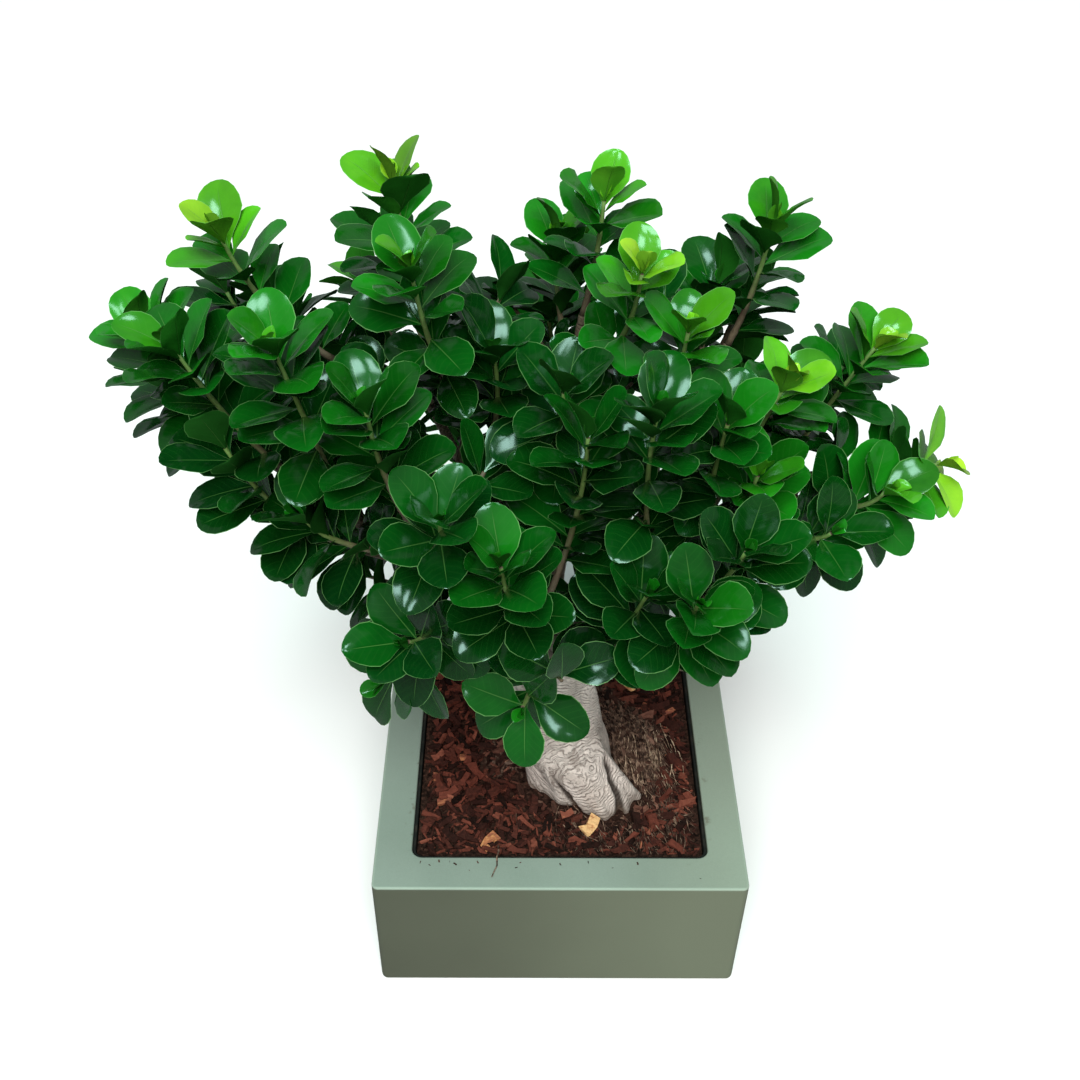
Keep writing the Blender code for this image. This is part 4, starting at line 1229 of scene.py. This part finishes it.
def bent_leaf(blade, shape, place, draw, youth):
    """A copy of the flat leaf, folded along its rib, drooped, waved, and put in its place."""
    length, fold, droop = shape
    copy = fresh_copy(blade)
    points = mesh_points(copy)
    x, y, z = points.T
    side = np.abs(y)
    depth = draw.uniform(0.0, WAVE_DEPTH)
    wave = depth * np.sin(2 * math.pi * (x * draw.uniform(*WAVE_COUNT) + draw.random()))
    twist = draw.uniform(-TWIST, TWIST)
    curl = draw.uniform(0.0, CURL) * (1 + CURL_OF_YOUTH * youth)
    swell = np.sin(math.pi * np.clip(side / (BLADE_SHAPE * BULGE_REACH), 0, 1))
    z += fold * side - droop * x * x
    z += wave * side / BLADE_SHAPE + twist * y * x
    z -= curl * np.clip(x - CURL_FROM, 0, 1) ** 2
    z += BULGE * swell * np.sin(math.pi * np.clip(x, 0, 1))
    set_points(copy, points * length)
    copy.data.transform(place)
    set_value(copy, "youth", youth, "FACE")
    set_value(copy, "tone", draw.random(), "FACE")
    return copy


def proxy_leaf(length, fold, droop, grown=0.0):
    """The points and faces of the plain solid leaf that clearances are tested with."""
    half_thick = LEAF_THICKNESS / 2 + grown
    points = [Vector((0.0, 0.0, 0.0))]
    for share, breadth in PROXY_ROWS:
        x = length * share
        z = -droop * length * share * share
        half = length * LEAF_SHAPE * breadth + grown
        rise = fold * half
        points.append(Vector((x, half, z + rise)))
        points.append(Vector((x, 0.0, z + half_thick)))
        points.append(Vector((x, -half, z + rise)))
        points.append(Vector((x, 0.0, z - half_thick)))
    points.append(Vector((length + grown, 0.0, -droop * length)))
    faces = []
    for side in range(4):
        faces.append((0, 1 + (side + 1) % 4, 1 + side))
    for row in range(len(PROXY_ROWS) - 1):
        first = 1 + 4 * row
        for side in range(4):
            a = first + side
            b = first + (side + 1) % 4
            if side in (0, 3):
                faces.append((a, b, b + 4))
                faces.append((a, b + 4, a + 4))
            else:
                faces.append((a, b, a + 4))
                faces.append((b, b + 4, a + 4))
    last = 1 + 4 * (len(PROXY_ROWS) - 1)
    for side in range(4):
        faces.append((last + side, last + (side + 1) % 4, len(points) - 1))
    return points, faces


def stem_spot(points, distance):
    """The point and the direction on a stem, at a distance down from its tip."""
    for high, low in zip(reversed(points), reversed(points[:-1])):
        step = (high - low).length
        if distance <= step:
            break
        distance -= step
    along = (high - low).normalized()
    return high - along * distance, along


def leaf_place(points, distance, turn, lift, roll):
    """Where a leaf sits on its stem: its frame has x along the leaf and z out of its face."""
    place, along = stem_spot(points, distance)
    across = along.cross(TURN_START).normalized()
    other = along.cross(across)
    angle = math.radians(turn)
    outward = across * math.cos(angle) + other * math.sin(angle)
    slope = math.radians(lift)
    run = outward * math.cos(slope) + along * math.sin(slope)
    face = along * math.cos(slope) - outward * math.sin(slope) + LIGHT_PULL
    face = (face - run * face.dot(run)).normalized()
    side = face.cross(run)
    turned = math.radians(roll)
    face = face * math.cos(turned) + side * math.sin(turned)
    side = face.cross(run)
    return Matrix.Translation(place) @ Matrix((run, side, face)).transposed().to_4x4()


def round_bounds(points):
    """The middle of some points, and how far they reach from it."""
    middle = sum(points, Vector()) / len(points)
    return middle, max((p - middle).length for p in points)


class Solids:
    """What already stands in the plant, kept as search trees with their round bounds."""

    def __init__(self):
        self.items = []

    def add(self, owner, points, faces):
        tree = BVHTree.FromPolygons(points, faces)
        self.items.append((owner, *round_bounds(points), tree))

    def add_object(self, owner, obj):
        points = [v.co.copy() for v in obj.data.vertices]
        self.add(owner, points, [tuple(p.vertices) for p in obj.data.polygons])

    def clear_of(self, points, faces, skip):
        """Whether these faces cross nothing but what the skipped owner has."""
        middle, reach = round_bounds(points)
        tree = None
        for owner, other_middle, other_reach, other_tree in self.items:
            if owner == skip:
                continue
            if (other_middle - middle).length > reach + other_reach:
                continue
            tree = tree or BVHTree.FromPolygons(points, faces)
            if tree.overlap(other_tree):
                return False
        return True


def draw_leaf(draw, turn, youth, stem, station, loose):
    """One try at a leaf of a shoot: its shape, and its place on the stem."""
    distance, length, lift = station
    length += (LEAF_FULL - length) * (1.0 - youth)
    lift *= LEVEL_LIFT + (1.0 - LEVEL_LIFT) * max(stem_spot(stem, distance)[1].z, 0.0)
    size = length * (1.0 - LOOSE_SHRINK * loose)
    size *= draw.uniform(1.0 - SIZE_SPREAD, 1.0 + SIZE_SPREAD)
    stray = draw.uniform(-TURN_SPREAD, TURN_SPREAD) * (1.0 + LOOSE_TURN * loose)
    rise = lift + draw.uniform(-LIFT_SPREAD, LIFT_SPREAD) + draw.uniform(*LOOSE_LIFT) * loose
    roll = draw.uniform(-ROLL_SPREAD, ROLL_SPREAD) * (1.0 + LOOSE_ROLL * loose)
    shape = (size, draw.uniform(*FOLD_RANGE), draw.uniform(*DROOP_RANGE))
    return shape, leaf_place(stem, distance, turn + stray, rise, roll)


def above_slope(points):
    """Whether the points leave the trunk's foot in sight."""
    return all(p.z > CLEARED_HEIGHT + CLEARED_SLOPE * max(-p.y, 0.0) for p in points)


def leaf_fits(shape, place, owner, standing, cleared=False):
    """Whether a leaf clears all that stands, its root being free to meet its own shoot."""
    points, faces = proxy_leaf(*shape, grown=LEAF_MARGIN)
    points = [place @ p for p in points]
    if min(p.z for p in points) < LOWEST_LEAF or cleared and not above_slope(points):
        return False
    blade = [tuple(corner - 1 for corner in face) for face in faces if 0 not in face]
    if not standing.clear_of(points[1:], blade, None):
        return False
    return standing.clear_of(points, faces, owner)


def grow_leaf(draw, turn, youth, stem, station, owner, standing, cleared):
    """Tries a leaf a few times, each time more freely, and gives it once one has room."""
    for attempt in range(LEAF_TRIES):
        shape, place = draw_leaf(draw, turn, youth, stem, station, attempt / LEAF_TRIES)
        if leaf_fits(shape, place, owner, standing, cleared):
            points, faces = proxy_leaf(*shape)
            standing.add(owner, [place @ p for p in points], faces)
            return [(shape, place, station[0])]
    return []


def is_open(shoot):
    """Whether a young shoot stands out above the crown."""
    return shoot.youth >= OPEN_YOUTH and shoot.tip[2] > OPEN_HEIGHT


def grow_level(stems, shoots, stations, level, first_turn, between, draws, standing, leaves):
    """Tries one leaf on each shoot, at the same step down from its tip."""
    for shoot in shoots:
        turn = shoot.turn + first_turn + LEAF_TURN * level
        distance, length, lift = stations[level]
        if between and is_open(shoot):
            length *= OPEN_SIZE
        cleared = between and shoot.name != NEAR_SHOOT
        leaves[shoot.name] += grow_leaf(
            draws[shoot.name], turn, shoot.youth, stems[shoot.name], (distance, length, lift),
            shoot.name, standing, cleared)


def sprig_points(limb, share, draw):
    """A short stem that leaves its limb sideways and turns up to the light."""
    guides = LIMBS[limb][0]
    start = curve_point(guides, share)
    along = curve_direction(guides, share)
    chance = Vector((draw.gauss(0, 1), draw.gauss(0, 1), draw.gauss(0, 1)))
    aside = along.cross(chance).normalized()
    reach = draw.uniform(*SPRIG_LENGTH)
    way = (aside + along * SPRIG_ALONG + SPRIG_UP).normalized()
    tip = start + way * reach + SPRIG_LIFT
    bend = start + way * reach * 0.5
    return stem_points((start, bend, tip), 0.0, 1.0, SPRIG_STEPS)


def sleeve(line):
    """A three-sided tube round a stem, which its clearance is tested with."""
    points = [place + offset for place in line for offset in SPRIG_SLEEVE]
    faces = []
    for a in range(0, 3 * len(line) - 3, 3):
        faces += [(a, a + 1, a + 4, a + 3), (a + 1, a + 2, a + 5, a + 4)]
        faces.append((a + 2, a, a + 3, a + 5))
    return points, faces


def grow_sprigs(standing, draw):
    """Finds room for each inner sprig; gives its limb, its stem's line and its leaves."""
    sprigs = []
    for limb in LIMBS:
        for number, share in enumerate(SPRIG_SHARES):
            name = "sprig_%s_%d" % (limb, number)
            for attempt in range(SPRIG_TRIES):
                line = sprig_points(limb, share, draw)
                points, faces = sleeve(line[1:])
                if above_slope(line) and standing.clear_of(points, faces, None):
                    break
            else:
                continue
            standing.add(name, points, faces)
            leaves = []
            turn = draw.uniform(0, 360)
            for level, station in enumerate(SPRIG_STATIONS):
                leaves += grow_leaf(draw, turn + LEAF_TURN * level, SPRIG_YOUTH, line, station,
                                    name, standing, True)
            if len(leaves) >= SPRIG_FEWEST and leaves[0][2] < SPRIG_BARE:
                sprigs.append((limb, line, leaves))
    return sprigs


def stem_length(points):
    return sum((b - a).length for a, b in zip(points, points[1:]))


def place_leaves(stem_material):
    """Each shoot's leaves: first the ones that the solids have too, then those between."""
    standing = Solids()
    standing.add_object("trunk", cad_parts["trunk"])
    stems = {shoot.name: shoot_points(shoot) for shoot in SHOOTS}
    for shoot in SHOOTS:
        line = stems[shoot.name]
        radii = knotted(STEM_ROOT_RADIUS, STEM_TIP_RADIUS, len(line), 0.0, 1)
        stem = tube(shoot.name, line, radii, 0, stem_material)
        standing.add_object(shoot.name, stem)
        bpy.data.objects.remove(stem, do_unlink=True)
    leaves = {shoot.name: [] for shoot in SHOOTS}
    draws = {shoot.name: random.Random(BASE_SEED + number) for number, shoot in enumerate(SHOOTS)}
    for level in range(len(LEAF_STATIONS)):
        shoots = [shoot for shoot in SHOOTS if level < shoot.leaves]
        grow_level(stems, shoots, LEAF_STATIONS, level, 0.0, False, draws, standing, leaves)
    for first_turn in (FILL_TURN, SECOND_TURN):
        for level, station in enumerate(FILL_STATIONS):
            if first_turn == SECOND_TURN and station[0] < SECOND_FROM:
                continue
            shoots = [shoot for shoot in SHOOTS
                      if station[0] < stem_length(stems[shoot.name]) - SHOOT_COLLAR]
            if first_turn == SECOND_TURN:
                shoots = [shoot for shoot in shoots if not is_open(shoot)]
            grow_level(stems, shoots, FILL_STATIONS, level, first_turn, True, draws, standing, leaves)
    return leaves, grow_sprigs(standing, random.Random(SPRIG_SEED))


def stem_of(name, points, radii, roundness, youth, tone, material):
    """A seen stem, with the youth of its faces from its root to its tip."""
    stem = tube(name, points, radii, roundness, material)
    stem.data.shade_smooth()
    set_value(stem, "youth", np.linspace(*youth, len(stem.data.polygons)), "FACE")
    set_value(stem, "tone", tone, "FACE")
    return stem


def make_buds(blade, shoot, draw):
    """The curled leaves that close a shoot's tip."""
    line = shoot_points(shoot)
    buds = []
    for length, lift, turn in BUD_LEAVES:
        shape = (length * draw.uniform(*BUD_SIZE), BUD_FOLD, draw.uniform(*BUD_DROOP))
        roll = draw.uniform(-BUD_ROLL, BUD_ROLL)
        place = leaf_place(line, 0.0, shoot.turn + turn, lift, roll)
        youth = BUD_YOUTH + (1.0 - BUD_YOUTH) * shoot.youth
        buds.append(bent_leaf(blade, shape, place, draw, youth))
    return buds


def make_shoots(blade, stem_material):
    """Each shoot with its leaves as one piece, and each limb's inner sprigs as another."""
    leaves_of, sprigs = place_leaves(stem_material)
    for number, shoot in enumerate(SHOOTS):
        draw = random.Random(FOLIAGE_SEED + number)
        points = stem_points(shoot_guides(shoot), 0.0, 1.0, FINE_STEPS)
        radii = knotted(*FINE_RADII, len(points), *FINE_KNOTS)
        tone = draw.random()
        pieces = [stem_of(shoot.name, points, radii, 2, (0, 1), tone, stem_material)]
        for shape, place, distance in leaves_of[shoot.name]:
            fresh = YOUTH_LEFT + math.exp(-distance / YOUTH_REACH)
            youth = shoot.youth * fresh + draw.uniform(*YOUTH_CHANCE)
            youth = min(1.0, max(0.0, youth))
            pieces.append(bent_leaf(blade, shape, place, draw, youth))
        pieces += make_buds(blade, shoot, draw)
        belongs(join("foliage_" + shoot.name, pieces), "leaf", "shoot_" + shoot.name)
    for limb in LIMBS:
        draw = random.Random(limb)
        pieces = []
        for line, leaves in (sprig[1:] for sprig in sprigs if sprig[0] == limb):
            radii = knotted(*SPRIG_RADII, len(line), *SPRIG_KNOTS)
            youth = (SPRIG_STEM_YOUTH, SPRIG_STEM_YOUTH)
            pieces.append(stem_of("sprig", line, radii, 1, youth, SPRIG_STEM_TONE, stem_material))
            pieces += [bent_leaf(blade, shape, place, draw, draw.uniform(*SPRIG_LEAF_YOUTH))
                       for shape, place, distance in leaves]
        if pieces:
            belongs(join("inner_sprigs_" + limb, pieces), "leaf")


def make_soil(material):
    """The potting mix: a level sheet raised into mounds, with its sides and foot closed."""
    low, high = SOIL_BOX
    deselect_all()
    bpy.ops.mesh.primitive_grid_add(x_subdivisions=SOIL_CELLS, y_subdivisions=SOIL_CELLS,
                                    size=high.x - low.x, location=(0, 0, SOIL_LEVEL))
    soil = named("potting_mix", material)
    points = mesh_points(soil)
    for point in points:
        x, y = point[:2]
        crumb = sum(noise.noise(Vector((x, y, start)) * grain) * height
                    for grain, start, height in SOIL_GRAINS)
        point[2] = SOIL_LEVEL + soil_rise(x, y) + crumb
    set_points(soil, points)
    ball = [smooth_step((mound_rise(x, y) - BALL_RISE) / BALL_BLEND) for x, y, z in points]
    set_value(soil, "root_ball", ball)
    take(soil)
    bpy.ops.object.mode_set(mode="EDIT")
    bpy.ops.mesh.select_mode(type="EDGE")
    bpy.ops.mesh.select_all(action="DESELECT")
    bpy.ops.mesh.select_non_manifold()
    bpy.ops.mesh.extrude_region_move(TRANSFORM_OT_translate={"value": (0, 0, low.z - SOIL_LEVEL)})
    bpy.ops.transform.resize(value=(SOIL_FOOT, SOIL_FOOT, 0.0), center_override=(0, 0, low.z))
    bpy.ops.mesh.edge_face_add()
    bpy.ops.object.mode_set(mode="OBJECT")
    belongs(soil, "bark_soil", "soil")


def make_chip(number, width, material):
    """One angular splinter of bark, 1 long, with skewed corners."""
    draw = random.Random(number)
    deselect_all()
    bpy.ops.mesh.primitive_cube_add(size=1.0, scale=(1.0, width, CHIP_THICKNESS))
    chip = named("chip", material)
    bpy.ops.object.mode_set(mode="EDIT")
    bpy.ops.mesh.select_all(action="SELECT")
    bpy.ops.mesh.bisect(plane_co=(0.1, 0.0, 0.0), plane_no=(1.0, draw.uniform(-0.6, 0.6), 0.2))
    bpy.ops.object.mode_set(mode="OBJECT")
    for vert in chip.data.vertices:
        vert.co.x *= draw.uniform(0.62, 1.1)
        vert.co.y = vert.co.y * draw.uniform(0.35, 1.15) + 0.18 * width * math.sin(3 * vert.co.x)
        vert.co.z *= draw.uniform(0.5, 1.5)
    set_value(chip, "tone", 0.0, "FACE")
    return chip


def lay_chip(pattern, place, size, lean, tone, crumb, draw):
    """A copy of a splinter, turned at random and laid down at a place."""
    copy = fresh_copy(pattern)
    tilt = Matrix.Rotation(draw.gauss(0, lean), 4, "X")
    tilt = tilt @ Matrix.Rotation(draw.gauss(0, lean), 4, "Y")
    turn = Matrix.Rotation(draw.uniform(0, 2 * math.pi), 4, "Z")
    breadth = size * draw.uniform(0.7, 1.2)
    thickness = size * draw.uniform(0.6, 1.3)
    scale = Matrix.Diagonal((size, breadth, thickness, 1.0))
    copy.data.transform(Matrix.Translation(place) @ turn @ tilt @ scale)
    set_value(copy, "tone", tone, "FACE")
    set_value(copy, "crumb", crumb, "FACE")
    return copy


def chip_spots(half, draw):
    """Where chips lie: x, y, length, height over the bed, and tone where one is chosen."""
    spots = [(*place, PLACED_LIFT, tone) for *place, tone in PLACED_CHIPS]
    for row in range(CHIP_ROWS):
        for column in range(CHIP_ROWS):
            x = -half + 2 * half * (column + draw.random()) / CHIP_ROWS
            y = -half + 2 * half * (row + draw.random()) / CHIP_ROWS
            spots.append((x, y, draw.uniform(*BED_SIZE), 0.0, None))
    for number in range(LOOSE_CHIPS):
        x = draw.uniform(-half, half)
        y = draw.uniform(-half, half)
        spots.append((x, y, draw.uniform(*LOOSE_SIZE), LOOSE_RISE, None))
    return spots


def scatter_chips(material):
    """Bark chips over the whole mouth: an even bed of splinters, then larger ones on it."""
    half = SOIL_BOX[1].x - CHIP_MARGIN
    draw = random.Random(BASE_SEED)
    patterns = [make_chip(number, width, material) for number, width in enumerate(CHIP_WIDTHS)]
    pieces = []
    for x, y, size, lift, tone in chip_spots(half, draw):
        gap = trunk_gap(x, y)
        on_ball = smooth_step((mound_rise(x, y) - BALL_RISE) / CRUMBLE_BLEND)
        crumbly = max(on_ball, smooth_step((CRUMBLE_NEAR - gap) / CRUMBLE_FADE))
        edge = half - max(abs(x), abs(y))
        if tone is None:
            if gap < CHIP_TO_TRUNK * size or edge < CHIP_TO_WALL * size:
                continue
            if draw.random() < CRUMBLE_LOSS * crumbly:
                continue
            size *= 1.0 - CRUMBLE_SHRINK * crumbly
            tone = min(max(draw.gauss(*CHIP_TONE), DARKEST_CHIP), PALEST_CHIP)
        place = (x, y, SOIL_LEVEL + soil_rise(x, y) + lift + size * CHIP_SEAT)
        if lift == PLACED_LIFT:
            pieces.append(lay_chip(patterns[0], place, size, PLACED_LEAN, tone, 0.0, draw))
        else:
            crumb = crumbly * draw.uniform(*CRUMBLE_SHADE)
            pattern = draw.choice(patterns)
            pieces.append(lay_chip(pattern, place, size, CHIP_LEAN, tone, crumb, draw))
    for x, y, size in RIM_CRUMBS:
        place = (x, y, RIM_LEVEL + size * CHIP_THICKNESS / 2)
        tone = draw.uniform(*RIM_TONE)
        pattern = draw.choice(patterns)
        pieces.append(lay_chip(pattern, place, size, RIM_LEAN, tone, draw.random(), draw))
    chips = join("bark_chips", pieces)
    for pattern in patterns:
        bpy.data.objects.remove(pattern, do_unlink=True)
    belongs(chips, "bark_soil")


def run_fibre(x, y, heading, steps, stray, draw):
    """The line of a hair root that runs over the soil until it meets the trunk or the insert."""
    half = SOIL_BOX[1].x - FIBRE_MARGIN
    bend = draw.uniform(-FIBRE_BEND, FIBRE_BEND)
    line = []
    for step in range(steps):
        if max(abs(x), abs(y)) > half or trunk_gap(x, y) < -FIBRE_SINK:
            break
        height = SOIL_LEVEL + soil_rise(x, y) + draw.uniform(*FIBRE_LIFT)
        line.append(Vector((x, y, height)))
        heading += bend + draw.gauss(0, stray)
        x += FIBRE_STEP * math.cos(heading)
        y += FIBRE_STEP * math.sin(heading)
    return line


def fibre_start(ring_x, ring_y, draw):
    """Where a hair root starts, on one side of the trunk."""
    angle = math.radians(draw.gauss(*FIBRE_SIDE))
    reach = trunk_radius(angle, SOIL_LEVEL) + draw.uniform(*FIBRE_OUT)
    return ring_x + reach * math.cos(angle), ring_y + reach * math.sin(angle)


def make_fibres(dark_material, pale_material):
    """Hair roots that run down the root ball, long pale ones among them, and the dead twig."""
    draw = random.Random(FIBRE_SEED)
    middle = ring_at(SOIL_LEVEL)[:2]
    twig = [Vector(place) for place in TWIG]
    for name, material, count, way, steps, stray, last in (
            ("root_fibres", dark_material, FIBRES, FIBRE_HEADING, FIBRE_STEPS, FIBRE_STRAY,
             [(twig, tapering(twig, TWIG_RADIUS))]),
            ("pale_strands", pale_material, STRANDS, STRAND_HEADING, STRAND_STEPS, STRAND_STRAY,
             [])):
        lines = []
        for number in range(count):
            if material is dark_material:
                x, y = fibre_start(*middle, draw)
            else:
                x, y = draw.uniform(*STRAND_FROM_X), draw.uniform(*STRAND_FROM_Y)
            heading = math.radians(draw.gauss(*way))
            line = run_fibre(x, y, heading, draw.randint(*steps), stray, draw)
            if len(line) >= FIBRE_FEWEST:
                lines.append((line, tapering(line, draw.choice(FIBRE_RADII))))
        piece = threads(name, lines + last, 0, material)
        piece.data.shade_smooth()
        belongs(piece, "bark_soil")


def make_stage(material):
    deselect_all()
    bpy.ops.mesh.primitive_plane_add(size=FLOOR_SIZE)
    floor = named("floor", material)
    # The floor is far brighter than the leaves, so it doesn't show in their gloss
    floor.visible_glossy = False
    floor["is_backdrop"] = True


def make_light():
    """A soft wide sun over the front, and three ceiling lamps that the leaves mirror."""
    data = bpy.data.lights.new("sky", "SUN")
    data.angle = math.radians(SKY_ANGLE)
    data.energy = SKY_POWER
    data.color = SKY_COLOUR
    sky = new_object("sky", data)
    # The leaves mirror the lamps alone
    sky.visible_glossy = False
    sky.rotation_euler = Vector(SKY_PLACE).to_track_quat("Z", "Y").to_euler()
    for place in LAMP_PLACES:
        data = bpy.data.lights.new("ceiling_lamp", "AREA")
        data.shape = "SQUARE"
        data.size = LAMP_SIZE
        data.energy = LAMP_POWER
        data.color = LAMP_COLOUR
        lamp = new_object("ceiling_lamp", data)
        lamp.location = place
        back = Vector(place) - Vector(LAMP_AIM)
        lamp.rotation_euler = back.to_track_quat("Z", "Y").to_euler()
    world = bpy.data.worlds.new("studio")
    world.use_nodes = True
    background = world.node_tree.nodes["Background"]
    background.inputs["Color"].default_value = AIR_COLOUR
    background.inputs["Strength"].default_value = AIR_STRENGTH
    SCENE.world = world
    SCENE.view_settings.view_transform = "Standard"


make_camera()
make_light()
make_stage(floor_white())
make_pot(sage_glaze())
insert_plastic = black_plastic()
for material_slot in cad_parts["liner"].material_slots:
    material_slot.material = insert_plastic
make_soil(soil_brown())
scatter_chips(chip_bark())
make_fibres(root_fibre("root_fibre", *DARK_ROOT), root_fibre("pale_root_fibre", *PALE_ROOT))
make_trunk(bark())
flat_leaf = make_blade(leaf_green())
make_shoots(flat_leaf, stem_green())
bpy.data.objects.remove(flat_leaf, do_unlink=True)

boxes = {"cad": CAD_BOX, "visual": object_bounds()}
{name: [list(corner) for corner in box] for name, box in boxes.items()}
